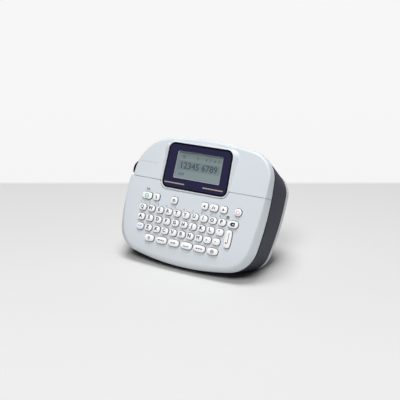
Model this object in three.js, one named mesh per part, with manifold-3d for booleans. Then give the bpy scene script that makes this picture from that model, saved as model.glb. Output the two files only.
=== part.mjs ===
// Handheld label maker standing on its lower edge and leaning back.
// Millimetres. In the device's own frame x runs across the face, y up the face and z out of it,
// with z = 0 on the flat of the keyboard face. The last section stands the device up on z = 0.
import * as THREE from 'three';
import { mergeVertices } from 'three/addons/utils/BufferGeometryUtils.js';
import Module from 'manifold-3d';

const wasm = await Module();
wasm.setup();

// ---------------------------------------------------------------- driving dimensions

const LEAN_BACK = THREE.MathUtils.degToRad(23.5);  // face against the vertical
const RIM_LIFT = 4.5;            // lowest point of the front rim above the table

const FIT_GAP = 0.3;            // between neighbouring pieces
const WALL = 2.2;               // moulded walls
const SEAM_STEP = 0.9;          // dark case inside the front shell's rim

// Outline of the front rim: four long crowned sides and the corners between them, anticlockwise
// from the right. reach is the distance of a side's crown from the middle, shift moves the crown
// along the side.
const RIM = {
  right: { reach: 75.5, radius: 275, shift: 13 },
  top: { reach: 60, radius: 290, shift: 5 },
  left: { reach: 75.3, radius: 150, shift: -10.5 },
  bottom: { reach: 59.5, radius: 245, shift: 1 },
  corners: [26, 41, 25, 28],
};
const SHELL_DEPTH = 8;          // face to the back of the front shell's rim
const RIM_CHAMFER = 0.5;
const FACE_EDGE = { right: 3.2, top: 3.4, left: 4.3, bottom: 5.8, corner: 4, shift: 10 };
// Share of the depth, and share of the way in for the left and right walls and for top and bottom.
const FACE_ROUND = [[0.52, 0.5, 0.15], [0.85, 0.88, 0.47], [0.963, 1, 0.8]];
const FACE_FLAT = 1.2;          // the face is flat this far inside its edge

const CASE_BACK = 41;           // face to the back edge of the dark case
const CASE_TAPER = { right: 0.7, top: 11.5, left: 2.8, bottom: 2.4, corner: 4.5, shift: 8 };
const SHADOW_GAP = { height: 1.1, depth: 1.3 };   // groove round the dark case behind the rim
const WEB_FRONT = 27;           // floor between the electronics and the bays
const COVER_BACK = 59;          // face to the flat back of the cover
const COVER_CROWN = [[0, 0], [0.4, 0.9], [0.68, 3], [0.9, 7.5], [1, 14]];  // share of the depth, inset
const CATCH = { width: 26, height: 9, radius: 3, x: 0, y: 25, depth: 1 };  // thumb recess of the cover
const TONGUE_REACH = 1.6;       // locating lip inside the neighbouring shell
const TONGUE_WALL = 1.3;

const DISPLAY_TILT = THREE.MathUtils.degToRad(3.6);
const WINDOW = { x: 0.15, bottom: 10.1, width: 69.7, height: 43.2, radius: 6.4, thickness: 1.2 };
const WINDOW_LEAN = 1.4;         // how far the top left corner of the display leans in
const SURROUND = 1.1;           // raised border round the window
const SURROUND_LOW = 0.4;       // height of the border's lower edge above the face
const WINDOW_SINK = 0.35;       // window below the top of its border
const WINDOW_CLEARANCE = 0.15;
const RAMP_RUN = 1.85;          // run of the side ramps for each unit of height
const RAMP_TOE = 0.5;
const GLASS = { x: 0.5, y: 23, width: 49.8, height: 25.6, radius: 1, sink: 1.3, thickness: 1.3 };
const LCD_FLANGE = { width: 56, height: 31, thickness: 2 };

const SEAM = { y: 16, width: 0.5, depth: 0.45 };  // groove across both wings of the face
const WING_STEP = { right: 0, top: 0, left: 1.9, bottom: 0, corner: 0, shift: 0 };  // above the seam

const KEY = { width: 7.9, height: 6.5, square: 2.5 };
const KEY_STAND = 1.75;         // crown of a key above the face
const KEY_TRAVEL = 0.8;
const KEY_CLEARANCE = 0.3;
const KEY_SKIRT = { x: 0.45, y: 0.9, height: 0.9 };    // spread of a key below the face
const KEY_CROWN = { bevel: 0.45, inset: 0.25, flat: 1.2 };
const KEY_SIDES = 12;

// Middles of the first and last letter key of each row, then the keys of their own size.
const UPPER_ROW = { first: -49, last: 36.2, y: -12.2 };
const MIDDLE_ROW = { first: -48.7, last: 35.8, y: -21.3 };
const LOWER_ROW = { first: -47.8, last: 34.1, y: -30.4 };
const SPECIAL_KEYS = {
  print: { x: -46.8, y: -0.8, width: 11, height: 6.6, square: 3.2 },
  preview: { x: -36.4, y: -0.8, width: 6.9, height: 6.6, square: 2.9 },
  menu: { x: -16.8, y: -0.8, width: 6.9, height: 6.6, square: 2.9 },
  left: { x: 15.7, y: -0.8, width: 7.1, height: 6.6, square: 2.9 },
  down: { x: 25.2, y: -0.8, width: 8.9, height: 6.8, square: 2.9 },
  right: { x: 35.4, y: -0.8, width: 7.1, height: 6.6, square: 2.9 },
  power: { x: 49.9, y: -0.8, width: 7.1, height: 7.1, square: 2.1 },
  backspace: { x: 47.2, y: -12.2, width: 10.4, height: 6.8, square: 2.7 },
  enter: { x: 45.1, y: -25.9, width: 6.7, height: 16.6, square: 3.6 },
  up: { x: -35.4, y: -39.6, width: 10.3, height: 6.5, square: 2.9 },
  symbol: { x: -22.1, y: -39.6, width: 12.1, height: 6.5, square: 2.9 },
  text: { x: -8.6, y: -39.6, width: 11.7, height: 6.5, square: 2.9 },
  space: { x: 5.1, y: -39.6, width: 12, height: 6.5, square: 2.9 },
  accent: { x: 18.8, y: -39.6, width: 12.3, height: 6.5, square: 2.9 },
  globe: { x: 32.3, y: -39.6, width: 11.2, height: 6.5, square: 2.9 },
};

const MAT = { width: 112, height: 51, x: 0, y: -20.5, radius: 9, thickness: 1.5 };
const BOARD_INSET = 9;
const BOARD_THICKNESS = 1.6;
const POST = { x: 50, high: 30, low: -32, radius: 3 };

const CASSETTE = { x: -19, y: 4, width: 60, height: 44, thickness: 14, radius: 4, hub: 5.5 };
const CELL = { diameter: 10.5, length: 44.5, y: 0, apart: 0.4, nub: 1.9, nubLength: 1, shoulder: 0.6 };
const CELL_COUNT = 4;
const BAY_WALL = 1.5;
const BAY_RIM = 2.2;            // bay walls stop this far before the case's back edge

const ROLLER = { beside: 5.2, y: 16.2, radius: 3.6, length: 13, shaft: 1.3, tail: 1.5 };
const HEAD = { width: 8, thickness: 1.4, height: 13 };
const TAPE_SLOT = { height: 2.6, rim: 1.2 };

// Cutter lever: the heel turns about the pivot, root and tip lie inside the line of the wall.
const LEVER = { pivot: 5, y: 17.2, heel: 2, stand: 1.2, bulge: 3.2, tip: 3.6, end: 4.8, high: 31.8,
  front: 10.9, back: 25, swing: 4 };

// ---------------------------------------------------------------- worked-out values

const ceiling = -WALL;                                    // underside of the face
const skirtTop = ceiling - FIT_GAP;
const keyBottom = skirtTop - KEY_SKIRT.height;
const matTop = keyBottom - KEY_TRAVEL - FIT_GAP;
const matBottom = matTop - MAT.thickness;
const boardTop = matBottom - FIT_GAP;
const boardBottom = boardTop - BOARD_THICKNESS;
const rimBack = -SHELL_DEPTH;
const caseFront = rimBack - FIT_GAP;
const caseBack = -CASE_BACK;
const gapBack = caseFront - SHADOW_GAP.height;
const webFront = -WEB_FRONT;
const webBack = webFront - WALL;
const coverFront = caseBack - FIT_GAP;
const FAR = 4 * RIM.right.reach;                         // beyond every piece
const tableLevel = -(RIM.bottom.reach * Math.cos(LEAN_BACK) + SHELL_DEPTH * Math.sin(LEAN_BACK)) - RIM_LIFT;

const faceEdge = inward(RIM, FACE_EDGE);
const wingRim = inward(RIM, WING_STEP);
const wingEdge = inward(faceEdge, WING_STEP);
const caseFrontOutline = inward(RIM, { ...evenly(SEAM_STEP), left: SEAM_STEP + WING_STEP.left });
const caseBackOutline = inward(RIM, CASE_TAPER);

// ---------------------------------------------------------------- outlines and solids

function evenly(inset) {
  return { right: inset, top: inset, left: inset, bottom: inset, corner: inset, shift: 0 };
}

// The same outline with each side moved in by its own amount.
function inward(outline, by) {
  const upright = (side, inset) => ({ ...side, reach: side.reach - inset, shift: side.shift + by.shift });
  const level = (side, inset) => ({ ...side, reach: side.reach - inset });
  return {
    right: upright(outline.right, by.right),
    top: level(outline.top, by.top),
    left: upright(outline.left, by.left),
    bottom: level(outline.bottom, by.bottom),
    corners: outline.corners.map((radius) => radius - by.corner),
  };
}

// Outline part of the way from one outline to another, by its own share above and below.
function between(a, b, beside, above = beside) {
  const mix = THREE.MathUtils.lerp;
  const side = (name, share) => ({
    reach: mix(a[name].reach, b[name].reach, share),
    radius: mix(a[name].radius, b[name].radius, share),
    shift: mix(a[name].shift, b[name].shift, share),
  });
  return {
    right: side('right', beside),
    top: side('top', above),
    left: side('left', beside),
    bottom: side('bottom', above),
    corners: a.corners.map((radius, i) => mix(radius, b.corners[i], (beside + above) / 2)),
  };
}

const SIDE_STEPS = 6;
const CORNER_STEPS = 6;

function arcPoints(centre, radius, from, to, steps) {
  const span = (to - from + 2 * Math.PI) % (2 * Math.PI);
  return Array.from({ length: steps }, (_, i) => {
    const angle = from + (span * i) / steps;
    return new THREE.Vector2(centre.x + radius * Math.cos(angle), centre.y + radius * Math.sin(angle));
  });
}

// Centre of the corner circle that touches two side circles from inside.
function cornerCentre(a, b, radius) {
  const ra = a.radius - radius;
  const rb = b.radius - radius;
  const apart = b.centre.clone().sub(a.centre);
  const distance = apart.length();
  const along = (ra * ra - rb * rb + distance * distance) / (2 * distance);
  const across = Math.sqrt(ra * ra - along * along);
  const unit = apart.divideScalar(distance);
  const foot = a.centre.clone().addScaledVector(unit, along);
  const normal = new THREE.Vector2(-unit.y, unit.x);
  const outward = a.out.clone().add(b.out);
  const sign = Math.sign(normal.dot(outward));
  return foot.addScaledVector(normal, sign * across);
}

// Points of an outline, anticlockwise, moved in by inset all round.
function outlinePoints(outline, inset = 0) {
  const side = ({ reach, radius, shift }, x, y) => ({
    radius,
    out: new THREE.Vector2(x, y),
    centre: new THREE.Vector2(x * (reach - radius) + y * y * shift, y * (reach - radius) + x * x * shift),
  });
  const sides = [
    side(outline.right, 1, 0),
    side(outline.top, 0, 1),
    side(outline.left, -1, 0),
    side(outline.bottom, 0, -1),
  ];
  const next = (i) => (i + 1) % 4;
  const corners = sides.map((a, i) => cornerCentre(a, sides[next(i)], outline.corners[i]));
  const angleOf = (from, to) => Math.atan2(to.y - from.y, to.x - from.x);
  return sides.flatMap((a, i) => {
    const b = sides[next(i)];
    const start = angleOf(a.centre, corners[(i + 3) % 4]);
    const turn = angleOf(a.centre, corners[i]);
    const end = angleOf(b.centre, corners[i]);
    return [
      ...arcPoints(a.centre, a.radius - inset, start, turn, SIDE_STEPS),
      ...arcPoints(corners[i], outline.corners[i] - inset, turn, end, CORNER_STEPS),
    ];
  });
}

function ring(points, z) {
  return points.map((p) => new THREE.Vector3(p.x, p.y, typeof z === 'function' ? z(p) : z));
}

// Closed skin through rings of equal count, from the back to the front, flat at both ends.
function loft(rings) {
  const count = rings[0].length;
  const corners = rings.flat().flatMap((p) => [p.x, p.y, p.z]);
  const faces = [];
  for (let r = 0; r + 1 < rings.length; r += 1) {
    for (let i = 0; i < count; i += 1) {
      const j = (i + 1) % count;
      const [a, b, c, d] = [r * count + i, r * count + j, (r + 1) * count + j, (r + 1) * count + i];
      faces.push(a, b, c, a, c, d);
    }
  }
  const flat = (points) => points.map((p) => new THREE.Vector2(p.x, p.y));
  const cap = (points, first, facing) => {
    const plan = flat(points);
    for (const [a, b, c] of THREE.ShapeUtils.triangulateShape(plan, [])) {
      const turn = plan[b].clone().sub(plan[a]).cross(plan[c].clone().sub(plan[a]));
      faces.push(first + a, ...(turn * facing > 0 ? [first + b, first + c] : [first + c, first + b]));
    }
  };
  cap(rings[0], 0, -1);
  cap(rings[rings.length - 1], count * (rings.length - 1), 1);
  const geometry = new THREE.BufferGeometry();
  geometry.setAttribute('position', new THREE.Float32BufferAttribute(corners, 3));
  geometry.setIndex(faces);
  return geometry;
}

// Rounded rectangle centred on x, y, between two depths.
function plate({ width, height, radius, x = 0, y = 0 }, back, front) {
  const w = width / 2;
  const h = height / 2;
  const shape = new THREE.Shape();
  shape.moveTo(x + w, y - h + radius);
  shape.absarc(x + w - radius, y + h - radius, radius, 0, Math.PI / 2, false);
  shape.absarc(x - w + radius, y + h - radius, radius, Math.PI / 2, Math.PI, false);
  shape.absarc(x - w + radius, y - h + radius, radius, Math.PI, 1.5 * Math.PI, false);
  shape.absarc(x + w - radius, y - h + radius, radius, 1.5 * Math.PI, 2 * Math.PI, false);
  return new THREE.ExtrudeGeometry(shape, { depth: front - back, bevelEnabled: false, curveSegments: 5 })
    .translate(0, 0, back);
}

function block(xs, ys, zs) {
  const middle = (pair) => (pair[0] + pair[1]) / 2;
  return new THREE.BoxGeometry(xs[1] - xs[0], ys[1] - ys[0], zs[1] - zs[0])
    .translate(middle(xs), middle(ys), middle(zs));
}

// Round bar along z.
function bar(x, y, radius, back, front, sides = 16) {
  return new THREE.CylinderGeometry(radius, radius, front - back, sides)
    .rotateX(Math.PI / 2)
    .translate(x, y, (front + back) / 2);
}

function solid(geometry) {
  const bare = geometry.clone();
  bare.deleteAttribute('normal');
  bare.deleteAttribute('uv');
  const merged = mergeVertices(bare, 1e-4);
  return new wasm.Manifold(new wasm.Mesh({
    numProp: 3,
    vertProperties: Float32Array.from(merged.attributes.position.array),
    triVerts: Uint32Array.from(merged.index.array),
  }));
}

function join(first, ...others) {
  return others.reduce((body, geometry) => body.add(solid(geometry)), first);
}

function cut(first, ...others) {
  return others.reduce((body, geometry) => body.subtract(solid(geometry)), first);
}

function geometryOf(body) {
  const { vertProperties, triVerts } = body.getMesh();
  const geometry = new THREE.BufferGeometry();
  geometry.setAttribute('position', new THREE.Float32BufferAttribute(vertProperties, 3));
  geometry.setIndex(Array.from(triVerts));
  return geometry;
}

// Everything lower than a level above the table, while the device stands leaning.
function belowTable(level) {
  return block([-FAR, FAR], [tableLevel + level - FAR, tableLevel + level], [-FAR, FAR]).rotateX(LEAN_BACK);
}

// ---------------------------------------------------------------- materials

function plastic(color, roughness) {
  return new THREE.MeshStandardMaterial({ color, roughness, metalness: 0 });
}

const shellPlastic = plastic(0xd9dfe3, 0.55);
const casePlastic = plastic(0x45434e, 0.5);
const coverPlastic = plastic(0xdfe1e4, 0.5);
const keyPlastic = plastic(0xf6f6f8, 0.4);
const windowPlastic = plastic(0x2b2940, 0.12);
const lcdGlass = plastic(0x85958f, 0.3);
const blackPlastic = plastic(0x17171a, 0.35);
const matRubber = plastic(0xb9bcc0, 0.8);
const boardGreen = plastic(0x2f6b45, 0.5);
const cassettePlastic = plastic(0x8f9499, 0.45);
const rollerRubber = plastic(0x303034, 0.9);
const cellSteel = new THREE.MeshStandardMaterial({ color: 0xb5b8bc, roughness: 0.35, metalness: 0.8 });
const headCeramic = new THREE.MeshStandardMaterial({ color: 0xc9cccf, roughness: 0.4, metalness: 0.6 });

const device = new THREE.Group();

function addPiece(name, geometry, material, parent = device) {
  const mesh = new THREE.Mesh(geometry, material);
  mesh.name = name;
  parent.add(mesh);
  return mesh;
}

// ---------------------------------------------------------------- keys

// Squared oval, the plan of every key and key hole.
function oval(width, height, square, sides = KEY_SIDES) {
  const reach = (value, half) => Math.sign(value) * half * Math.abs(value) ** (2 / square);
  return Array.from({ length: sides }, (_, i) => {
    const angle = (2 * Math.PI * i) / sides;
    return new THREE.Vector2(reach(Math.cos(angle), width / 2), reach(Math.sin(angle), height / 2));
  });
}

const LETTERS = [
  ['q', 'w', 'e', 'r', 't', 'y', 'u', 'i', 'o', 'p'],
  ['a', 's', 'd', 'f', 'g', 'h', 'j', 'k', 'l', 'quote'],
  ['shift', 'z', 'x', 'c', 'v', 'b', 'n', 'm', 'comma', 'period'],
];
const LETTER_ROWS = [UPPER_ROW, MIDDLE_ROW, LOWER_ROW];
const KEYS = [
  ...LETTERS.flatMap((names, row) => names.map((name, i) => ({
    ...KEY,
    name,
    x: THREE.MathUtils.lerp(LETTER_ROWS[row].first, LETTER_ROWS[row].last, i / (names.length - 1)),
    y: LETTER_ROWS[row].y,
  }))),
  ...Object.entries(SPECIAL_KEYS).map(([name, key]) => ({ ...key, name })),
];

function keyGeometry({ width, height, square }) {
  const plan = (grow, growY = grow) => oval(width + 2 * grow, height + 2 * growY, square);
  return loft([
    ring(plan(KEY_SKIRT.x, KEY_SKIRT.y), keyBottom),
    ring(plan(0), skirtTop),
    ring(plan(-KEY_CROWN.inset), KEY_STAND - KEY_CROWN.bevel),
    ring(plan(-KEY_CROWN.flat), KEY_STAND),
  ]);
}

for (const key of KEYS) {
  addPiece(`key_${key.name}`, keyGeometry(key), keyPlastic).position.set(key.x, key.y, 0);
}

// ---------------------------------------------------------------- front shell

// Frame of the display: its origin is at the middle of the window's lower edge, in the plane of
// the top of the raised border.
const displayFrame = new THREE.Matrix4()
  .makeRotationX(DISPLAY_TILT)
  .setPosition(WINDOW.x, WINDOW.bottom, SURROUND_LOW);
const onDisplay = (geometry) => geometry.applyMatrix4(displayFrame);
const leaned = (x, y) => x + (WINDOW_LEAN * y * (WINDOW.width / 2 - x)) / (WINDOW.height * WINDOW.width);
function displayPlate(plan, back, front) {
  const geometry = plate(plan, back, front);
  const place = geometry.attributes.position;
  for (let i = 0; i < place.count; i += 1) place.setX(i, leaned(place.getX(i), place.getY(i)));
  return geometry;
}
const windowPlan = { ...WINDOW, x: 0, y: WINDOW.height / 2 };
const grown = (plan, by) => ({
  ...plan,
  width: plan.width + 2 * by,
  height: plan.height + 2 * by,
  radius: plan.radius + by,
});
const windowTop = -WINDOW_SINK;
const windowBack = windowTop - WINDOW.thickness;
const pocketFloor = windowBack - FIT_GAP;
const lcdTop = windowBack - GLASS.sink;
const flangeFront = lcdTop - GLASS.thickness;
const mountFloor = flangeFront + FIT_GAP;
const lcdFlange = { ...GLASS, ...LCD_FLANGE };

// Raised border of the display. Its height grows up the face, and ramps run down from its sides.
function displayBoss() {
  const plan = grown(windowPlan, SURROUND);
  const w = plan.width / 2;
  const corner = (x, y, from) => arcPoints(
    new THREE.Vector2(x, y), plan.radius, from, from + Math.PI / 2, 5,
  ).concat(new THREE.Vector2(x + plan.radius * Math.cos(from + Math.PI / 2),
    y + plan.radius * Math.sin(from + Math.PI / 2)));
  const low = plan.y - plan.height / 2 + plan.radius;
  const high = plan.y + plan.height / 2 - plan.radius;
  const edge = [
    ...corner(w - plan.radius, high, 0),
    ...corner(-w + plan.radius, high, Math.PI / 2),
    ...corner(-w + plan.radius, low, Math.PI),
    ...corner(w - plan.radius, low, 1.5 * Math.PI),
  ];
  const top = edge.map((p) => new THREE.Vector3(leaned(p.x, p.y), p.y, 0).applyMatrix4(displayFrame));
  const toe = top.map((p, i) => {
    const away = edge[i].clone().sub(new THREE.Vector2(0, THREE.MathUtils.clamp(edge[i].y, low, high)));
    const sideways = Math.sign(away.x) * Math.min(1, Math.abs(away.x) / w) ** 2;
    const upright = Math.sign(away.y) * RAMP_TOE * Math.abs(away.y / plan.radius);
    return new THREE.Vector3(p.x + sideways * (RAMP_TOE + RAMP_RUN * p.z), p.y + upright, ceiling / 2);
  });
  return loft([toe, top]);
}

function shellSkin(rim, edge) {
  return solid(loft([
    ring(outlinePoints(rim, RIM_CHAMFER), rimBack),
    ring(outlinePoints(rim), rimBack + RIM_CHAMFER),
    ...FACE_ROUND.map(([up, beside, above]) => ring(
      outlinePoints(between(rim, edge, beside, above)),
      rimBack + up * SHELL_DEPTH,
    )),
    ring(outlinePoints(edge, FACE_FLAT), 0),
  ]));
}

function frontShell() {
  const upper = block([-FAR, FAR], [SEAM.y, FAR], [-FAR, FAR]);
  const skin = cut(shellSkin(RIM, faceEdge), upper)
    .add(shellSkin(wingRim, wingEdge).intersect(solid(upper)));
  const hollow = loft([
    ring(outlinePoints(wingRim, WALL), rimBack - 1),
    ring(outlinePoints(wingRim, WALL), rimBack + TONGUE_REACH + FIT_GAP),
    ring(outlinePoints(wingEdge, WALL), ceiling),
  ]);
  const backing = onDisplay(displayPlate(grown(windowPlan, SURROUND), mountFloor, pocketFloor));
  let shell = cut(skin, hollow, seamGroove());
  shell = join(shell, displayBoss(), backing);
  shell = cut(
    shell,
    onDisplay(displayPlate(grown(windowPlan, WINDOW_CLEARANCE), pocketFloor, SHELL_DEPTH)),
    onDisplay(displayPlate(GLASS, -SHELL_DEPTH, SHELL_DEPTH)),
    onDisplay(displayPlate(grown(lcdFlange, FIT_GAP), -SHELL_DEPTH, mountFloor)),
  );
  return KEYS.reduce((body, { x, y, width, height, square }) => {
    const hole = oval(width + 2 * KEY_CLEARANCE, height + 2 * KEY_CLEARANCE, square);
    return cut(body, loft([ring(hole, ceiling - 1), ring(hole, 1)]).translate(x, y, 0));
  }, solid(geometryOf(shell)));
}

// Groove across each wing of the face and down its side walls.
function seamGroove() {
  const band = solid(block([-FAR, FAR], [SEAM.y - SEAM.width / 2, SEAM.y + SEAM.width / 2], [-FAR, FAR]));
  const core = loft([
    ring(outlinePoints(RIM, SEAM.depth), -FAR),
    ring(outlinePoints(RIM, SEAM.depth), rimBack),
    ring(outlinePoints(faceEdge, SEAM.depth), -SEAM.depth),
  ]);
  return geometryOf(cut(band, core));
}

addPiece('front_shell', geometryOf(frontShell()), shellPlastic);

// ---------------------------------------------------------------- display

const display = new THREE.Group();
displayFrame.decompose(display.position, display.quaternion, display.scale);
device.add(display);

addPiece('display_window', displayPlate(windowPlan, windowBack, windowTop), windowPlastic, display);

const lcd = join(
  solid(displayPlate(grown(GLASS, -FIT_GAP), flangeFront - LCD_FLANGE.thickness / 2, lcdTop)),
  displayPlate(lcdFlange, flangeFront - LCD_FLANGE.thickness, flangeFront),
);
addPiece('lcd_panel', geometryOf(lcd), lcdGlass, display);

// ---------------------------------------------------------------- key mat and board

addPiece('key_mat', plate(MAT, matBottom, matTop), matRubber);
const boardPlan = outlinePoints(RIM, BOARD_INSET);
addPiece('main_board', loft([ring(boardPlan, boardBottom), ring(boardPlan, boardTop)]), boardGreen);

// ---------------------------------------------------------------- dark case

const caseOutline = (z) => between(caseFrontOutline, caseBackOutline, (z - caseFront) / (caseBack - caseFront));
const bayFront = webBack;
const bayRim = caseBack + BAY_RIM;
const cassetteBay = grown(CASSETTE, FIT_GAP);
const cellPitch = CELL.diameter + CELL.apart;
const cellBayWidth = CELL.length + CELL.nubLength + 2 * FIT_GAP;
const cellBay = {
  width: cellBayWidth,
  height: cellPitch * (CELL_COUNT - 1) + CELL.diameter + 2 * FIT_GAP,
  radius: 1,
  x: cassetteBay.x + cassetteBay.width / 2 + BAY_WALL + cellBayWidth / 2,
  y: CELL.y,
};
const rollerX = cassetteBay.x - cassetteBay.width / 2 - BAY_WALL - ROLLER.beside;

function midCase() {
  const body = solid(loft([
    ring(outlinePoints(caseOutline(caseBack)), caseBack),
    ring(outlinePoints(caseOutline(gapBack)), gapBack),
    ring(outlinePoints(caseOutline(gapBack), SHADOW_GAP.depth), gapBack),
    ring(outlinePoints(caseOutline(caseFront), SHADOW_GAP.depth), caseFront),
  ]));
  const tongue = loft([
    ring(outlinePoints(wingRim, WALL + FIT_GAP), caseFront - 1),
    ring(outlinePoints(wingRim, WALL + FIT_GAP), rimBack + TONGUE_REACH),
  ]);
  const frontRoom = solid(loft([
    ring(outlinePoints(caseOutline(webFront), WALL), webFront),
    ring(outlinePoints(caseOutline(caseFront), WALL + FIT_GAP + TONGUE_WALL), caseFront),
    ring(outlinePoints(wingRim, WALL + FIT_GAP + TONGUE_WALL), rimBack + TONGUE_REACH + 1),
  ])).subtract(solid(belowTable(WALL)));
  const backRoom = solid(loft([
    ring(outlinePoints(caseOutline(caseBack), WALL), caseBack - 1),
    ring(outlinePoints(caseOutline(webBack), WALL), webBack),
  ])).subtract(solid(belowTable(WALL)));
  let shell = join(body, tongue).subtract(frontRoom).subtract(backRoom).subtract(solid(belowTable(0)));
  for (const bay of [cellBay, cassetteBay]) {
    const wall = solid(plate(grown(bay, BAY_WALL), bayRim, webBack + WALL / 2));
    shell = shell.add(cut(wall, plate(bay, -FAR, FAR)));
  }
  shell = shell.subtract(solid(tapePath()));
  for (const x of [-POST.x, POST.x]) {
    for (const y of [POST.low, POST.high]) {
      shell = join(shell, bar(x, y, POST.radius, webFront - 0.5, boardBottom - FIT_GAP, 12));
    }
  }
  return cut(shell, leverOpening(), bar(rollerX, ROLLER.y, ROLLER.shaft + FIT_GAP, webBack - 1, webFront + 1));
}

// Straight way of the tape from the cassette, past the roller and out of the side.
const tapeY = ROLLER.y - ROLLER.radius - FIT_GAP / 2;
function tapePath() {
  return block(
    [-FAR, cassetteBay.x],
    [tapeY - TAPE_SLOT.height / 2, tapeY + TAPE_SLOT.height / 2],
    [caseBack + TAPE_SLOT.rim, webBack - FIT_GAP],
  );
}

// Line of the left wall, from which the lever is set out.
const leverWall = -RIM.left.reach + SEAM_STEP;

function leverOpening() {
  return block(
    [-FAR, leverWall + LEVER.tip + LEVER.end + LEVER.swing],
    [LEVER.y - LEVER.heel - FIT_GAP, LEVER.high + 2 * FIT_GAP],
    [-LEVER.back - FIT_GAP, -LEVER.front + FIT_GAP],
  );
}

addPiece('mid_case', geometryOf(midCase()), casePlastic);

// ---------------------------------------------------------------- back cover

function backCover() {
  const stations = (wall) => COVER_CROWN.map(([share, inset]) => ring(
    outlinePoints(caseBackOutline, inset + wall),
    THREE.MathUtils.lerp(coverFront, -COVER_BACK, share) + wall,
  )).reverse();
  const skin = solid(loft(stations(0)));
  const room = solid(loft(stations(WALL))).subtract(solid(belowTable(WALL)));
  const lipRing = (inset, z) => ring(outlinePoints(caseBackOutline, WALL + FIT_GAP + inset), z);
  const lip = cut(
    solid(loft([lipRing(0, coverFront - TONGUE_WALL), lipRing(0, coverFront + TONGUE_REACH)])),
    loft([lipRing(TONGUE_WALL, -COVER_BACK), lipRing(TONGUE_WALL, 0)]),
    belowTable(WALL + FIT_GAP),
  );
  const recess = plate(CATCH, -FAR, -COVER_BACK + CATCH.depth);
  return cut(skin.subtract(room).add(lip), belowTable(0), recess);
}

addPiece('back_cover', geometryOf(backCover()), coverPlastic);

// ---------------------------------------------------------------- tape cassette, cells, print unit

const cassetteFront = webBack - FIT_GAP;
const cassetteBack = cassetteFront - CASSETTE.thickness;
const cassette = cut(
  solid(plate(CASSETTE, cassetteBack, cassetteFront)),
  ...[-1, 1].map((side) => bar(CASSETTE.x + side * CASSETTE.width / 4, CASSETTE.y, CASSETTE.hub,
    cassetteBack - 1, cassetteFront + 1, 20)),
);
addPiece('tape_cassette', geometryOf(cassette), cassettePlastic);

function cellGeometry() {
  const r = CELL.diameter / 2;
  const half = CELL.length / 2;
  const profile = [
    [0, -half],
    [r, -half],
    [r, half - CELL.shoulder],
    [r - CELL.shoulder, half],
    [CELL.nub, half],
    [CELL.nub, half + CELL.nubLength],
    [0, half + CELL.nubLength],
  ].map(([x, y]) => new THREE.Vector2(x, y));
  return new THREE.LatheGeometry(profile, 14).rotateZ(-Math.PI / 2);
}

for (let i = 0; i < CELL_COUNT; i += 1) {
  const cell = addPiece(`battery_${i + 1}`, cellGeometry(), cellSteel);
  const turned = i % 2 === 1;
  cell.position.set(
    cellBay.x + ((turned ? 1 : -1) * CELL.nubLength) / 2,
    CELL.y + (i - (CELL_COUNT - 1) / 2) * cellPitch,
    webBack - FIT_GAP - CELL.diameter / 2,
  );
  cell.rotation.z = turned ? Math.PI : 0;
}

const rollerFront = webBack - FIT_GAP;
const roller = join(
  solid(bar(0, 0, ROLLER.radius, -ROLLER.length, 0, 20)),
  bar(0, 0, ROLLER.shaft, -ROLLER.length - ROLLER.tail, WALL + FIT_GAP, 12),
);
addPiece('platen_roller', geometryOf(roller), rollerRubber).position.set(rollerX, ROLLER.y, rollerFront);

const headTop = tapeY - FIT_GAP;
addPiece('print_head', block(
  [rollerX - HEAD.width / 2, rollerX + HEAD.width / 2],
  [headTop - HEAD.thickness, headTop],
  [rollerFront - HEAD.height, rollerFront],
), headCeramic);

// ---------------------------------------------------------------- cutter lever

// Curved paddle that stands out of the left wall, with its heel about the pivot below.
function leverGeometry() {
  const pivotX = leverWall + LEVER.pivot;
  const middle = (LEVER.y + LEVER.high) / 2;
  const shape = new THREE.Shape();
  shape.moveTo(pivotX + LEVER.heel, LEVER.y);
  shape.absarc(pivotX, LEVER.y, LEVER.heel, 0, Math.PI, true);
  shape.lineTo(leverWall - LEVER.stand, LEVER.y + LEVER.heel);
  shape.quadraticCurveTo(leverWall - LEVER.bulge, middle + LEVER.bulge, leverWall + LEVER.tip, LEVER.high);
  shape.lineTo(leverWall + LEVER.tip + LEVER.end, LEVER.high);
  shape.closePath();
  return new THREE.ExtrudeGeometry(shape, {
    depth: LEVER.back - LEVER.front,
    bevelEnabled: false,
    curveSegments: 10,
  }).translate(0, 0, -LEVER.back);
}

addPiece('cutter_lever', leverGeometry(), blackPlastic);

// ---------------------------------------------------------------- standing frame

// The face leans back, the device rests on z = 0 and is centred over the origin.
device.rotation.x = Math.PI / 2 - LEAN_BACK;
const labelMaker = new THREE.Group();
labelMaker.add(device);
labelMaker.updateMatrixWorld(true);
const box = new THREE.Box3().setFromObject(labelMaker, true);
const middle = box.getCenter(new THREE.Vector3());
device.position.set(-middle.x, -middle.y, -box.min.z);

export default labelMaker;
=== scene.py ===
"""Looks of a handheld label maker that stands on its lower edge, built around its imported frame.

Shapes are set out in the device's own frame, in millimetres: x across the face, y up the face and
z out of it, with z = 0 on the flat of the keyboard face. DEVICE takes them to the shared frame.
"""

from math import atan2, copysign, cos, pi, radians, sin, sqrt

import bmesh
import bpy
import numpy as np
from mathutils import Matrix, Vector


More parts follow.
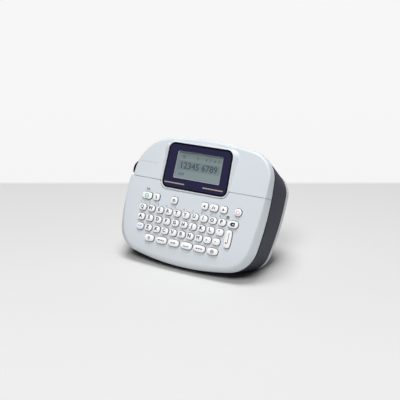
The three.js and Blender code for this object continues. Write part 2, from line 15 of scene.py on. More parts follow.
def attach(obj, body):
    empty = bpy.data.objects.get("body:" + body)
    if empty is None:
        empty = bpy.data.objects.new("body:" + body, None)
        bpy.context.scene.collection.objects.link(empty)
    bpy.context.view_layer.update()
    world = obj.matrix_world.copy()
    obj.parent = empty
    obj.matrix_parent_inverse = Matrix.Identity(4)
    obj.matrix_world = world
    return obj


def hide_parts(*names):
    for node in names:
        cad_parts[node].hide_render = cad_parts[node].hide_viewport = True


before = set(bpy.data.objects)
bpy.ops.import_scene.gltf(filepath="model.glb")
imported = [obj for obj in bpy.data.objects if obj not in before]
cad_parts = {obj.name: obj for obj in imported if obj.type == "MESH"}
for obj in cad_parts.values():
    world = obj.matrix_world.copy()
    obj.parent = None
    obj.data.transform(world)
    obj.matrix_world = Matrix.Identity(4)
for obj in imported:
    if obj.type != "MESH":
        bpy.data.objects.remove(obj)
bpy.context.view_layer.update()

MM = 0.001

# ---------------------------------------------------------------- device frame

LEAN_BACK = radians(23.5)
MAT_MIDDLE = (0.0, -20.5)       # middle of the key mat across and up the face
MAT_FRONT = -4.5                # its front face, behind the face

ACROSS = np.array((1.0, 0.0, 0.0))
UPWARD = np.array((0.0, sin(LEAN_BACK), cos(LEAN_BACK)))
OUTWARD = np.array((0.0, -cos(LEAN_BACK), sin(LEAN_BACK)))


def extent(node, axis):
    """Lowest and highest place of a CAD node along an axis, in millimetres."""
    places = np.array([v.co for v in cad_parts[node].data.vertices]) @ axis / MM
    return places.min(), places.max()


def device_matrix():
    """Shared frame from device frame, found from where the key mat lies."""
    middle_x, middle_y = (sum(extent("key_mat", axis)) / 2 for axis in (ACROSS, UPWARD))
    front = extent("key_mat", OUTWARD)[1]
    origin = (
        (middle_x - MAT_MIDDLE[0]) * ACROSS
        + (middle_y - MAT_MIDDLE[1]) * UPWARD
        + (front - MAT_FRONT) * OUTWARD
    )
    turned = Matrix([ACROSS, UPWARD, OUTWARD]).transposed().to_4x4()
    return Matrix.Scale(MM, 4) @ Matrix.Translation(Vector(origin)) @ turned


DEVICE = device_matrix()

# ---------------------------------------------------------------- sizes of the CAD part

FIT_GAP = 0.3
WALL = 2.2
LEVER_STEP = 0.9                # lever inside the rim of the shell
CASE_STEP = 0.4                 # case inside the rim of the shell
FAR = 300.0                     # past the object on any side

# reach, radius and shift of each crowned side of the front rim, and the corner radii
RIM = {
    "right": (75.5, 275.0, 13.0),
    "top": (60.0, 290.0, 5.0),
    "left": (75.3, 150.0, -10.5),
    "bottom": (59.95, 245.0, 1.0),
    "corners": (26.0, 41.0, 25.0, 28.0),
}
SHELL_DEPTH = 8.0
FACE_EDGE = {"top": 1.9, "left": 4.3, "bottom": 5.8, "corner": 4.0, "shift": 10.0}
FACE_RIGHT = (73.3, 356.0, 36.9)
FACE_CORNER = 23.0              # the top right one, which stays close to the rim
FACE_FLAT = 1.2                 # from the face's outline in to where its edge is level
# how far the face falls toward its edge, over what width, and between which heights that begins
FACE_FALL = {"depth": 0.7, "width": 14.0, "none_above": 35.0, "full_below": -5.0}
WING_STEP = 2.3                 # upper left wing inside the lower one

CASE_BACK = 41.0                # depths behind the face, as are the web's and the cover's
CASE_TAPER = {"right": 0.7, "top": 11.5, "left": 2.8, "bottom": 2.4, "corner": 4.5, "shift": 8.0}
SHADOW_GAP = {"height": 2.0, "depth": 1.3}
CATCH = {"width": 26.0, "height": 9.0, "radius": 3.0, "y": 25.0, "depth": 1.0}
CATCH_RIBS = {"count": 4, "pitch": 1.7, "radius": 0.45, "short": 6.0, "sunk": 0.1}
WEB_FRONT = 27.0
COVER_BACK = 59.0
# share of the cover's depth and how far its side has come in there
COVER_CROWN = ((0, 0), (0.4, 0.9), (0.68, 3), (0.9, 7.5), (1, 14))
TONGUE_REACH = 1.6              # tongue of one part inside the next
TONGUE_WALL = 1.3

DISPLAY_TILT = radians(3.6)
WINDOW = {
    "x": -0.05, "bottom": 10.1, "width": 69.5, "height": 42.85, "radius": 6.5, "thickness": 1.2,
}
WINDOW_LEAN = 2.4               # how far the top left corner of the display leans in
SURROUND = 1.1                  # width of the border round the window
SURROUND_LOW = 0.4              # height of that border over the face at its lower end
WINDOW_SINK = 0.35
WINDOW_CLEARANCE = 0.15
# the rim's black is painted shade, standing for the dark gap and bevel at the window's edge
WINDOW_RIM = 1.5                # bevelled black rim of the window
RAMP_RUN = 1.85                 # run of the side ramps for each millimetre of rise
RAMP_TOE = 0.5
GLASS = {"x": 0.7, "y": 23.0, "width": 49.4, "height": 25.6, "radius": 1.0}
LCD_SINK = 1.3

WING_LINE = {"y": 31.0, "end": -42.0, "depth": 0.22, "width": 0.4}
SEAM = {"y": 16.0, "width": 0.5, "depth": 0.45, "beside": 1.75, "foot": 1.0}

KEY_STAND = 1.75                # key tops over the face
KEY_CLEARANCE = 0.3
KEY_SKIRT = {"x": 0.45, "y": 0.9, "height": 0.9}

MAT_THICKNESS = 1.5
BOARD_THICKNESS = 1.6
POST = {"x": 50.0, "high": 30.0, "low": -32.0, "radius": 3.0}

CASSETTE = {
    "x": -19.0, "y": 4.0, "width": 60.0, "height": 44.0, "thickness": 14.0, "radius": 4.0,
    "hub": 5.5,
}
CELL = {"diameter": 10.5, "length": 44.5, "y": 0.0, "apart": 0.4, "nub": 1.9, "nub_length": 1.0}
CELL_COUNT = 4
BAY_WALL = 1.5
BAY_RIM = 2.2                   # bay walls end this far short of the case's back
CASSETTE_BAY = {
    **CASSETTE,
    "width": CASSETTE["width"] + 2 * FIT_GAP,
    "height": CASSETTE["height"] + 2 * FIT_GAP,
    "radius": CASSETTE["radius"] + FIT_GAP,
}
CELL_PITCH = CELL["diameter"] + CELL["apart"]
CELL_BAY = {
    "width": CELL["length"] + CELL["nub_length"] + 2 * FIT_GAP,
    "height": CELL_PITCH * (CELL_COUNT - 1) + CELL["diameter"] + 2 * FIT_GAP,
    "radius": 1.0,
    "x": CASSETTE["x"] + CASSETTE["width"] / 2 + FIT_GAP + BAY_WALL
    + (CELL["length"] + CELL["nub_length"]) / 2 + FIT_GAP,
    "y": CELL["y"],
}
ROLLER = {"beside": 5.2, "y": 16.2, "radius": 3.6, "length": 13.0, "shaft": 1.3, "tail": 1.5}
ROLLER_X = CASSETTE["x"] - CASSETTE["width"] / 2 - FIT_GAP - BAY_WALL - ROLLER["beside"]
HEAD_SIZE = {"width": 8.0, "thickness": 1.4, "height": 13.0}
HEAD_LINE = {"half": 0.9, "height": 0.15, "short": 0.5}
TAPE_SLOT = {"height": 2.6, "rim": 1.2}
LEVER = {
    "pivot": 5.0, "y": 17.2, "heel": 2.0, "stand": 1.2, "bulge": 3.2, "tip": 3.6, "end": 4.8,
    "high": 31.8, "front": 10.9, "back": 25.0, "swing": 4.0,
}
LEVER_WALL = -RIM["left"][0] + LEVER_STEP

# ---------------------------------------------------------------- outlines


def inward(outline, right=0.0, top=0.0, left=0.0, bottom=0.0, corner=0.0, shift=0.0):
    """The same outline with each side moved in by its own amount."""
    def moved(side, by, shifted):
        reach, radius, along = outline[side]
        return reach - by, radius, along + shifted

    return {
        "right": moved("right", right, shift),
        "top": moved("top", top, 0),
        "left": moved("left", left, shift),
        "bottom": moved("bottom", bottom, 0),
        "corners": tuple(radius - corner for radius in outline["corners"]),
    }


def evenly(outline, by):
    return inward(outline, by, by, by, by, by)


def between(a, b, beside, above=None):
    """Outline part of the way from one outline to another, by its own share above and below."""
    above = beside if above is None else above
    shares = {
        "right": beside, "left": beside, "top": above, "bottom": above,
        "corners": (beside + above) / 2,
    }
    return {
        side: tuple(p + (q - p) * shares[side] for p, q in zip(a[side], b[side]))
        for side in a
    }


SIDE_STEPS = 24
CORNER_STEPS = 20


def corner_centre(a, b, radius):
    """Centre of the corner circle that touches two side circles from inside."""
    (centre_a, radius_a, out_a), (centre_b, radius_b, out_b) = a, b
    near, far = radius_a - radius, radius_b - radius
    apart = centre_b - centre_a
    distance = apart.length
    along = (near**2 - far**2 + distance**2) / (2 * distance)
    unit = apart / distance
    normal = Vector((-unit.y, unit.x))
    across = copysign(sqrt(near**2 - along**2), normal.dot(out_a + out_b))
    return centre_a + unit * along + normal * across


def outline_points(outline, inset=0.0):
    """Points of an outline, anticlockwise from the right, moved in by inset all round."""
    sides = []
    for name, x, y in (("right", 1, 0), ("top", 0, 1), ("left", -1, 0), ("bottom", 0, -1)):
        reach, radius, shift = outline[name]
        in_by = reach - radius
        centre = Vector((x * in_by + y * y * shift, y * in_by + x * x * shift))
        sides.append((centre, radius, Vector((x, y))))
    corners = [
        corner_centre(sides[i], sides[(i + 1) % 4], outline["corners"][i]) for i in range(4)
    ]
    points = []

    def arc(centre, radius, start, end, steps):
        span = (end - start) % (2 * pi)
        for i in range(steps):
            angle = start + span * i / steps
            points.append((centre.x + radius * cos(angle), centre.y + radius * sin(angle)))

    for i in range(4):
        centre, radius, _ = sides[i]
        beyond = sides[(i + 1) % 4][0]
        start = atan2(*reversed(corners[i - 1] - centre))
        turn = atan2(*reversed(corners[i] - centre))
        end = atan2(*reversed(corners[i] - beyond))
        arc(centre, radius - inset, start, turn, SIDE_STEPS)
        arc(corners[i], outline["corners"][i] - inset, turn, end, CORNER_STEPS)
    return points


def rounded_rectangle(width, height, radius, x=0.0, y=0.0, steps=8):
    points = []
    for turn, (cx, cy) in enumerate(((1, 1), (-1, 1), (-1, -1), (1, -1))):
        middle_x = x + cx * (width / 2 - radius)
        middle_y = y + cy * (height / 2 - radius)
        for i in range(steps + 1):
            angle = (turn + i / steps) * pi / 2
            points.append((middle_x + radius * cos(angle), middle_y + radius * sin(angle)))
    return points


def circle(radius, x=0.0, y=0.0, steps=32):
    angles = [2 * pi * i / steps for i in range(steps)]
    return [(x + radius * cos(a), y + radius * sin(a)) for a in angles]


def oval(width, height, square, sides=40):
    """Squared oval, the plan of every key and key hole."""
    def reach(value, half):
        return copysign(half * abs(value) ** (2 / square), value)

    angles = [2 * pi * i / sides for i in range(sides)]
    return [(reach(cos(a), width / 2), reach(sin(a), height / 2)) for a in angles]


FACE = inward(RIM, **FACE_EDGE)
FACE["right"] = FACE_RIGHT
FACE["corners"] = (FACE_CORNER, *FACE["corners"][1:])
WING_RIM = inward(RIM, left=WING_STEP)
WING_FACE = inward(FACE, left=WING_STEP)
CASE_FRONT = inward(evenly(RIM, CASE_STEP), left=WING_STEP, corner=-CASE_STEP)
CASE_REAR = inward(RIM, **CASE_TAPER)

# ---------------------------------------------------------------- solids

ONE_POINT = 2e-4                # points closer together than this are one
SHARP_ANGLE = radians(32)       # edges that turn more than this stay sharp


def level(points, z):
    return [(x, y, z) for x, y in points]


def linked(made):
    bpy.context.scene.collection.objects.link(made)
    return made


def mesh_object(name, vertices, faces):
    mesh = bpy.data.meshes.new(name)
    mesh.from_pydata(vertices, [], faces)
    return linked(bpy.data.objects.new(name, mesh))


def loft(rings):
    """Closed skin through rings of equal count, from the back to the front."""
    count = len(rings[0])
    faces = []
    for r in range(len(rings) - 1):
        for i in range(count):
            j = (i + 1) % count
            faces.append((r * count + i, r * count + j, (r + 1) * count + j, (r + 1) * count + i))
    faces.append(tuple(reversed(range(count))))
    faces.append(tuple((len(rings) - 1) * count + i for i in range(count)))
    return mesh_object("loft", [p for ring in rings for p in ring], faces)


def plate(points, back, front):
    return loft([level(points, back), level(points, front)])


def turned(profile, x=0.0, y=0.0, steps=32):
    """Solid turned about an axis that points out of the face: radius and height of each ring."""
    return loft([level(circle(radius, x, y, steps), z) for radius, z in profile])


def block(xs, ys, zs):
    return plate([(xs[1], ys[0]), (xs[1], ys[1]), (xs[0], ys[1]), (xs[0], ys[0])], *zs)


def settled(made):
    """Takes the object's modifiers into its mesh."""
    bpy.context.view_layer.update()
    seen = made.evaluated_get(bpy.context.evaluated_depsgraph_get())
    mesh = bpy.data.meshes.new_from_object(seen)
    old = made.data
    made.modifiers.clear()
    made.data = mesh
    bpy.data.meshes.remove(old)
    return made


def combined(body, operation, tools):
    for tool in tools:
        modifier = body.modifiers.new("combined", "BOOLEAN")
        modifier.operation = operation
        modifier.solver = "MANIFOLD"
        modifier.object = tool
        settled(body)
        bpy.data.objects.remove(tool)
    return body


def cut(body, *tools):
    return combined(body, "DIFFERENCE", tools)


def fused(body, *tools):
    return combined(body, "UNION", tools)


def common(body, *tools):
    return combined(body, "INTERSECT", tools)


def gathered(objects, name):
    """One mesh object out of several that don't touch."""
    shape = bmesh.new()
    for o in objects:
        shape.from_mesh(o.data)
    mesh = bpy.data.meshes.new(name)
    shape.to_mesh(mesh)
    shape.free()
    for o in objects:
        bpy.data.objects.remove(o)
    return linked(bpy.data.objects.new(name, mesh))


def moved(made, matrix):
    made.data.transform(matrix)
    return made


def welded(mesh):
    """Makes one point of points that are on the same place."""
    shape = bmesh.new()
    shape.from_mesh(mesh)
    bmesh.ops.remove_doubles(shape, verts=shape.verts, dist=ONE_POINT)
    shape.to_mesh(mesh)
    shape.free()


def smoothed(made):
    """Shades a piece smooth between its sharp edges, with flat faces kept flat."""
    welded(made.data)
    made.data.shade_smooth()
    made.data.set_sharp_from_angle(angle=SHARP_ANGLE)
    modifier = made.modifiers.new("even", "WEIGHTED_NORMAL")
    modifier.keep_sharp = True
    return settled(made)


def shifted(made, x=0.0, y=0.0, z=0.0):
    return moved(made, Matrix.Translation((x, y, z)))


def finished(made, name, body, *materials, slot, replaces=()):
    """Puts a shape from the device frame in its place as a named piece on a body."""
    smoothed(made)
    moved(made, DEVICE)
    made.name = made.data.name = name
    for index, material in enumerate(materials):
        if index < len(made.data.materials):
            made.data.materials[index] = material
        else:
            made.data.materials.append(material)
    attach(made, body)
    if replaces:
        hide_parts(*replaces)


# ---------------------------------------------------------------- materials


def colour(code):
    """Linear colour of an sRGB hex value."""
    def linear(value):
        return value / 12.92 if value <= 0.04045 else ((value + 0.055) / 1.055) ** 2.4

    return tuple(linear(int(code[i:i + 2], 16) / 255) for i in (1, 3, 5)) + (1.0,)


def add(tree, kind, inputs=None, **settings):
    """Adds a node. An input is a value or another node's output."""
    made = tree.nodes.new(kind)
    for name, value in settings.items():
        setattr(made, name, value)
    for socket, source in (inputs or {}).items():
        if isinstance(source, bpy.types.NodeSocket):
            tree.links.new(source, made.inputs[socket])
        else:
            made.inputs[socket].default_value = source
    return made


def new_material(name):
    material = bpy.data.materials.new(name)
    material.use_nodes = True
    tree = material.node_tree
    tree.nodes.clear()
    return material, tree


WHITE = (1, 1, 1, 1)
NOISE_LOW, NOISE_HIGH = 0.3, 0.7    # nearly all of a noise pattern lies between these
FLOW_WIDTH = 1000 / 22          # 45 mm wide clouds, left in a moulding by the plastic's flow
WIPE_WIDTH = 2.5                # patches of more or less gloss on ink, film and metal
MOULD_STRENGTH = 0.35
KEY_GRAIN = (0.4, 0.008, 0.01)  # grain, its depth and the mottle of key rubber
INK_ROUGHNESS = 0.5
POLISHED_ROUGHNESS = 0.03
ACRYLIC_IOR = 1.49
SATIN_IOR = 1.42                # ABS, brought down from 1.5 to the weak sheen of the shell


def noise(tree, place, width):
    """Noise pattern whose patches are about a width across, in millimetres."""
    scale = 1 / (width * MM)
    made = add(tree, "ShaderNodeTexNoise", {"Vector": place, "Scale": scale, "Detail": 2.0})
    return made.outputs["Fac"]


def ramped(tree, value, start, end, low=0.0, high=1.0, **settings):
    """A value that goes from low to high while another goes from start to end."""
    return add(tree, "ShaderNodeMapRange", {
        "Value": value, "From Min": start, "From Max": end, "To Min": low, "To Max": high,
    }, **settings).outputs["Result"]


def spread(tree, pattern, low, high):
    """A noise pattern taken to a range of values."""
    return ramped(tree, pattern, NOISE_LOW, NOISE_HIGH, low, high)


def moulded(name, base, roughness, grain, depth, mottle=0.02, ior=1.5):
    """Moulded plastic or rubber, with the grain of its mould. That grain is about 0.05 mm wide
    on the real thing and is drawn about ten times as wide, so that it shows."""
    material, tree = new_material(name)
    place = add(tree, "ShaderNodeTexCoord").outputs["Object"]
    fine = noise(tree, place, grain)
    tint = add(tree, "ShaderNodeMix", {
        "Factor": 1.0, "A": colour(base),
        "B": spread(tree, noise(tree, place, FLOW_WIDTH), 1 - mottle, 1.0),
    }, data_type="RGBA", blend_type="MULTIPLY")
    bump = add(tree, "ShaderNodeBump", {
        "Height": fine, "Strength": MOULD_STRENGTH, "Distance": depth * MM})
    shader = add(tree, "ShaderNodeBsdfPrincipled", {
        "Base Color": tint.outputs["Result"],
        "Roughness": spread(tree, fine, roughness - 0.04, roughness + 0.04),
        "Normal": bump.outputs["Normal"], "IOR": ior})
    add(tree, "ShaderNodeOutputMaterial", {"Surface": shader.outputs["BSDF"]})
    return material


def plain(name, base, roughness, metallic=0.0, speckle=0.03):
    """Smooth even finish whose roughness varies a little, such as ink, film or polished metal."""
    material, tree = new_material(name)
    place = add(tree, "ShaderNodeTexCoord").outputs["Object"]
    rough = spread(tree, noise(tree, place, WIPE_WIDTH),
                   max(0.0, roughness - speckle), roughness + speckle)
    shader = add(tree, "ShaderNodeBsdfPrincipled", {
        "Base Color": colour(base), "Roughness": rough, "Metallic": metallic})
    add(tree, "ShaderNodeOutputMaterial", {"Surface": shader.outputs["BSDF"]})
    return material


def clear_pane():
    """Polished acrylic: it shows what is behind it and reflects like any plastic. Its back faces
    don't reflect, because from inside they would do so at every low angle."""
    material, tree = new_material("clear_acrylic")
    gloss = add(tree, "ShaderNodeBsdfGlossy", {"Color": WHITE, "Roughness": POLISHED_ROUGHNESS})
    through = add(tree, "ShaderNodeBsdfTransparent", {"Color": WHITE})
    fresnel = add(tree, "ShaderNodeFresnel", {"IOR": ACRYLIC_IOR})
    behind = add(tree, "ShaderNodeNewGeometry").outputs["Backfacing"]
    entering = add(tree, "ShaderNodeMath", {0: 1.0, 1: behind}, operation="SUBTRACT")
    share = add(tree, "ShaderNodeMath", {
        0: fresnel.outputs["Fac"], 1: entering.outputs["Value"]}, operation="MULTIPLY")
    mixed = add(tree, "ShaderNodeMixShader", {
        0: share.outputs["Value"], 1: through.outputs["BSDF"], 2: gloss.outputs["BSDF"]})
    add(tree, "ShaderNodeOutputMaterial", {"Surface": mixed.outputs["Shader"]})
    return material


# Pale blue-grey ABS from a finely eroded mould: a soft sheen and no clear reflections.
SHELL = moulded("satin_abs_pale_blue_grey", "#D3D9DE", 0.42, 0.5, 0.02, ior=SATIN_IOR)
# Dark ABS with a coarser mould grain, so it stays matt where light grazes it.
CASE = moulded("textured_abs_dark_grey", "#25253D", 0.6, 0.7, 0.05, mottle=0.06)
# Light grey ABS, finished as the shell is.
COVER = moulded("satin_abs_light_grey", "#E3E5EA", 0.42, 0.5, 0.02)
# White coat on moulded silicone rubber key tops: smooth, with a soft even sheen.
KEY_TOP = moulded("white_key_rubber", "#F3F3F5", 0.38, *KEY_GRAIN)
SHIFT_TOP = moulded("lavender_key_rubber", "#ECEDF8", 0.38, *KEY_GRAIN)
# Bare silicone rubber below the coat of a key's top: duller and darker than the coat, and made
# darker still as painted shade, for the dark rim that shade gives the sides of the keys. Two keys
# are moulded in a colour, darkened in the same way.
KEY_SIDE = moulded("bare_key_rubber_with_painted_shade", "#858381", 0.5, *KEY_GRAIN)
GREEN_SIDE = moulded("green_key_rubber_with_painted_shade", "#4C6E5A", 0.5, *KEY_GRAIN)
ROSE_SIDE = moulded("rose_key_rubber_with_painted_shade", "#8A7275", 0.5, *KEY_GRAIN)
# Polished acrylic, printed dark on its back: sharp reflections over a deep even colour.
PRINTED_WINDOW = plain("printed_acrylic_navy", "#2B2A45", 0.08, speckle=0.02)
# The black of the window's rim is painted shade: black where the gap and bevel at its edge lie
# dark.
WINDOW_EDGE = plain("acrylic_rim_black_painted_shade", "#0B0A12", 0.1, speckle=0.02)
# Painted wall of the display's recess: matt, and lit by what falls through the pane.
RECESS = plain("recess_wall_grey", "#C9C9D6", 0.5)
# Pad-printed inks: flat colours with a dull sheen.
PALE_INK = plain("beige_ink", "#A89F97", INK_ROUGHNESS)
LEGEND_INK = plain("dark_grey_ink", "#101014", INK_ROUGHNESS)
SYMBOL_INK = plain("mid_grey_ink", "#4A4A4E", INK_ROUGHNESS)
GREEN_INK = plain("green_ink", "#7FC79A", INK_ROUGHNESS)
ROSE_INK = plain("rose_ink", "#D9929C", INK_ROUGHNESS)
VIOLET_INK = plain("violet_ink", "#8D86B8", INK_ROUGHNESS)
BLUE_INK = plain("blue_grey_ink", "#6C86AC", INK_ROUGHNESS)
BLACK_INK = plain("black_ink", "#111114", INK_ROUGHNESS)
PANE = clear_pane()
# Reflective liquid crystal panel behind a matt polarising film: grey, with darker dots.
LCD_FILM = plain("lcd_polariser", "#8C9B9B", 0.35)
LCD_IDLE = plain("lcd_segment_off", "#7F8D8E", 0.4)
LCD_DARK = plain("lcd_segment", "#515D68", 0.4)
# Moulded nylon, black through and through: glossier than the case beside it.
LEVER_BLACK = moulded("black_nylon", "#101012", 0.3, 0.5, 0.01)
# Silicone rubber sheet: matt and slightly cloudy.
MAT_RUBBER = moulded("silicone_sheet", "#B8BCC0", 0.7, 0.6, 0.02)
# Glass-fibre board under green solder mask: an even lacquer with a dull shine.
BOARD = plain("solder_mask_green", "#2F6B45", 0.4)
# Smoked ABS of the cassette: a smoother mould, so a clearer sheen than the shell.
CASSETTE_ABS = moulded("smoked_abs", "#8F9499", 0.35, 0.4, 0.01)
# Turned acetal, white and waxy.
HUB_ACETAL = plain("white_acetal", "#E9E9E6", 0.4)
# Ground rubber of the platen: nearly no shine.
ROLLER_RUBBER = moulded("black_rubber", "#2C2C30", 0.8, 0.4, 0.02)
# Nickel-plated cell can: a soft mirror.
CELL_STEEL = plain("nickel_plated_steel", "#C2C4C8", 0.28, metallic=1.0)
# Printed shrink film pulled tight round a cell: two even colours with a soft shine.
CELL_SLEEVE = plain("shrink_film_slate", "#4C535C", 0.3)
CELL_BAND = plain("shrink_film_copper", "#B98A5E", 0.3)
# Ground steel of the platen's shaft: brighter than the cells.
SHAFT_STEEL = plain("ground_steel", "#B9BBBE", 0.25, metallic=1.0)
# Anodised aluminium of the print head, with a glossy glazed line along it.
HEAD = plain("anodised_aluminium", "#C9CCCF", 0.35, metallic=1.0)
GLAZE = plain("glazed_ceramic_line", "#4A3B33", 0.15)

# ---------------------------------------------------------------- repeated details


def new_group(name, inputs):
    """Geometry tree with named inputs, and its input and output nodes."""
    group = bpy.data.node_groups.new(name, "GeometryNodeTree")
    for label, kind, value in inputs:
        socket = group.interface.new_socket(label, in_out="INPUT", socket_type=kind)
        if value is not None:
            socket.default_value = value
    group.interface.new_socket("Geometry", in_out="OUTPUT", socket_type="NodeSocketGeometry")
    return group, add(group, "NodeGroupInput")


def close_group(group, instances, *materials):
    """Ends a tree in plain faces, of one material or of the few that its part already carries."""
    made = add(group, "GeometryNodeRealizeInstances", {"Geometry": instances})
    for material in materials:
        settings = {"Geometry": made.outputs["Geometry"], "Material": material}
        if len(materials) > 1:
            carried = add(group, "GeometryNodeMaterialSelection", {"Material": material})
            settings["Selection"] = carried.outputs["Selection"]
        made = add(group, "GeometryNodeSetMaterial", settings)
    add(group, "NodeGroupOutput", {"Geometry": made.outputs["Geometry"]})


def grown_from(group, name, **values):
    """Runs a tree once, with its inputs by name, and keeps the plain mesh."""
    made = mesh_object(name, [], [])
    modifier = made.modifiers.new("nodes", "NODES")
    modifier.node_group = group
    for item in group.interface.items_tree:
        if item.in_out == "INPUT" and item.name in values:
            modifier[item.identifier] = values[item.name]
    return settled(made)


def row_places(group, given):
    """Points in a row up the piece, one for each of Count, Pitch apart."""
    step = add(group, "ShaderNodeCombineXYZ", {"Y": given.outputs["Pitch"]})
    return add(group, "GeometryNodeMeshLine", {
        "Count": given.outputs["Count"], "Offset": step.outputs["Vector"]}).outputs["Mesh"]


def spun(group, number, turn):
    """Rotation about the axis out of the face: a number times a turn."""
    angle = add(group, "ShaderNodeMath", {0: number, 1: turn}, operation="MULTIPLY")
    return add(group, "ShaderNodeCombineXYZ", {"Z": angle.outputs["Value"]}).outputs["Vector"]


def rib_row(material):
    """Row of round ribs, up the piece, each lying across it."""
    group, given = new_group("rib_row", [
        ("Count", "NodeSocketInt", 5), ("Pitch", "NodeSocketFloat", 1.4),
        ("Length", "NodeSocketFloat", 20.0), ("Radius", "NodeSocketFloat", 0.4)])
    rib = add(group, "GeometryNodeMeshCylinder", {
        "Vertices": 16, "Radius": given.outputs["Radius"], "Depth": given.outputs["Length"]})
    lying = add(group, "GeometryNodeTransform", {
        "Geometry": rib.outputs["Mesh"], "Rotation": (0, pi / 2, 0)})
    ribs = add(group, "GeometryNodeInstanceOnPoints", {
        "Points": row_places(group, given), "Instance": lying.outputs["Geometry"]})
    close_group(group, ribs.outputs["Instances"], material)
    return group


def tooth_ring(material):
    """Ring of teeth that point in to a hub's middle."""
    group, given = new_group("tooth_ring", [
        ("Count", "NodeSocketInt", 6), ("Radius", "NodeSocketFloat", 4.0),
        ("Tooth", "NodeSocketVector", (1.6, 0.9, 12.0))])
    places = add(group, "GeometryNodeMeshCircle", {
        "Vertices": given.outputs["Count"], "Radius": given.outputs["Radius"]})
    share = add(group, "ShaderNodeMath", {0: 2 * pi, 1: given.outputs["Count"]}, operation="DIVIDE")
    index = add(group, "GeometryNodeInputIndex").outputs["Index"]
    tooth = add(group, "GeometryNodeMeshCube", {"Size": given.outputs["Tooth"]})
    teeth = add(group, "GeometryNodeInstanceOnPoints", {
        "Points": places.outputs["Mesh"], "Instance": tooth.outputs["Mesh"],
        "Rotation": spun(group, index, share.outputs["Value"])})
    close_group(group, teeth.outputs["Instances"], material)
    return group


def cell_row(*materials):
    """Row of cells up the bay, every second one turned end for end."""
    group, given = new_group("cell_row", [
        ("Count", "NodeSocketInt", 4), ("Pitch", "NodeSocketFloat", 10.9),
        ("Cell", "NodeSocketObject", None)])
    index = add(group, "GeometryNodeInputIndex").outputs["Index"]
    odd = add(group, "ShaderNodeMath", {0: index, 1: 2.0}, operation="MODULO")
    one = add(group, "GeometryNodeObjectInfo", {"Object": given.outputs["Cell"]})
    cells = add(group, "GeometryNodeInstanceOnPoints", {
        "Points": row_places(group, given), "Instance": one.outputs["Geometry"],
        "Rotation": spun(group, odd.outputs["Value"], pi)})
    close_group(group, cells.outputs["Instances"], *materials)
    return group


# ---------------------------------------------------------------- front shell

DISPLAY = (
    Matrix.Translation((WINDOW["x"], WINDOW["bottom"], SURROUND_LOW))
    @ Matrix.Rotation(DISPLAY_TILT, 4, "X")
)
WINDOW_MIDDLE = WINDOW["height"] / 2
WINDOW_TOP = -WINDOW_SINK
WINDOW_BACK = WINDOW_TOP - WINDOW["thickness"]
POCKET_FLOOR = WINDOW_BACK - FIT_GAP
LCD_TOP = WINDOW_BACK - LCD_SINK


def leaned(points):
    """Leans the left side of the display in toward its top."""
    width, height = WINDOW["width"], WINDOW["height"]
    return [(x + WINDOW_LEAN * y * (width / 2 - x) / (height * width), y) for x, y in points]


def window_outline(grown):
    return leaned(rounded_rectangle(
        WINDOW["width"] + 2 * grown, WINDOW["height"] + 2 * grown, WINDOW["radius"] + grown,
        y=WINDOW_MIDDLE, steps=12))


def glass_outline(grown=0.0):
    return leaned(rounded_rectangle(
        GLASS["width"] + 2 * grown, GLASS["height"] + 2 * grown, GLASS["radius"] + grown,
        GLASS["x"], GLASS["y"], steps=5))


def curve(a, b, c, steps):
    """Points of a curve from a to c that b pulls out."""
    a, b, c = (np.array(p, float) for p in (a, b, c))
    return [
        tuple((1 - t) ** 2 * a + 2 * t * (1 - t) * b + t * t * c)
        for t in (i / steps for i in range(steps + 1))
    ]


RIM_EDGE = 0.8                  # rounding of the shell's back edge
CREASE = (0.91, 7.0)            # share of the way in and height where the wall meets the crease
ROLL = 2.3                      # how late the top and the bottom roll over


def rolled(up):
    """Share of the way in at a height, where the top and the bottom roll over into the face."""
    rise = max(0.0, up - RIM_EDGE) / (SHELL_DEPTH - RIM_EDGE)
    return 1 - sqrt(max(0.0, 1 - rise**ROLL))


def shell_skin(rim, face):
    """Solid of the shell's outer form. A profile point is share of the way in, inset and depth."""
    def fallen(points, up, share):
        """Ring at a height, lowered by a share of the fall of the lower face toward its edge."""
        high, low = FACE_FALL["none_above"], FACE_FALL["full_below"]
        return [
            (x, y, up - SHELL_DEPTH
             - FACE_FALL["depth"] * share * min(1, max(0, (high - y) / (high - low))))
            for x, y in points
        ]

    crease_share, crease_up = CREASE
    edge = curve((0, RIM_EDGE, 0), (0, 0, 0), (0, 0, RIM_EDGE), 5)
    wall = [(t, 0, RIM_EDGE + (crease_up - RIM_EDGE) * t / crease_share)
            for t in (0.15, 0.3, 0.45, 0.6, 0.75, 0.85)]
    crease = curve((crease_share, 0, crease_up), (1.04, 0.25, SHELL_DEPTH),
                   (1, FACE_FLAT, SHELL_DEPTH), 9)
    sides = []
    for share, inset, up in edge + wall + crease:
        ring = outline_points(between(rim, face, share, rolled(up)), inset)
        sides.append(fallen(ring, up, (up / SHELL_DEPTH) ** 2))
    span = FACE_FALL["width"] - FACE_FLAT
    crown = [
        fallen(outline_points(face, FACE_FLAT + span * t), SHELL_DEPTH, (1 - t) ** 2)
        for t in (0.12, 0.25, 0.4, 0.6, 0.8, 1.0)
    ]
    return loft(sides + crown)


RAMP_SOFT = 0.6                 # rounding at the top of the border and at the foot of a ramp
RAMP_FOOT = 0.5                 # how far that foot reaches out


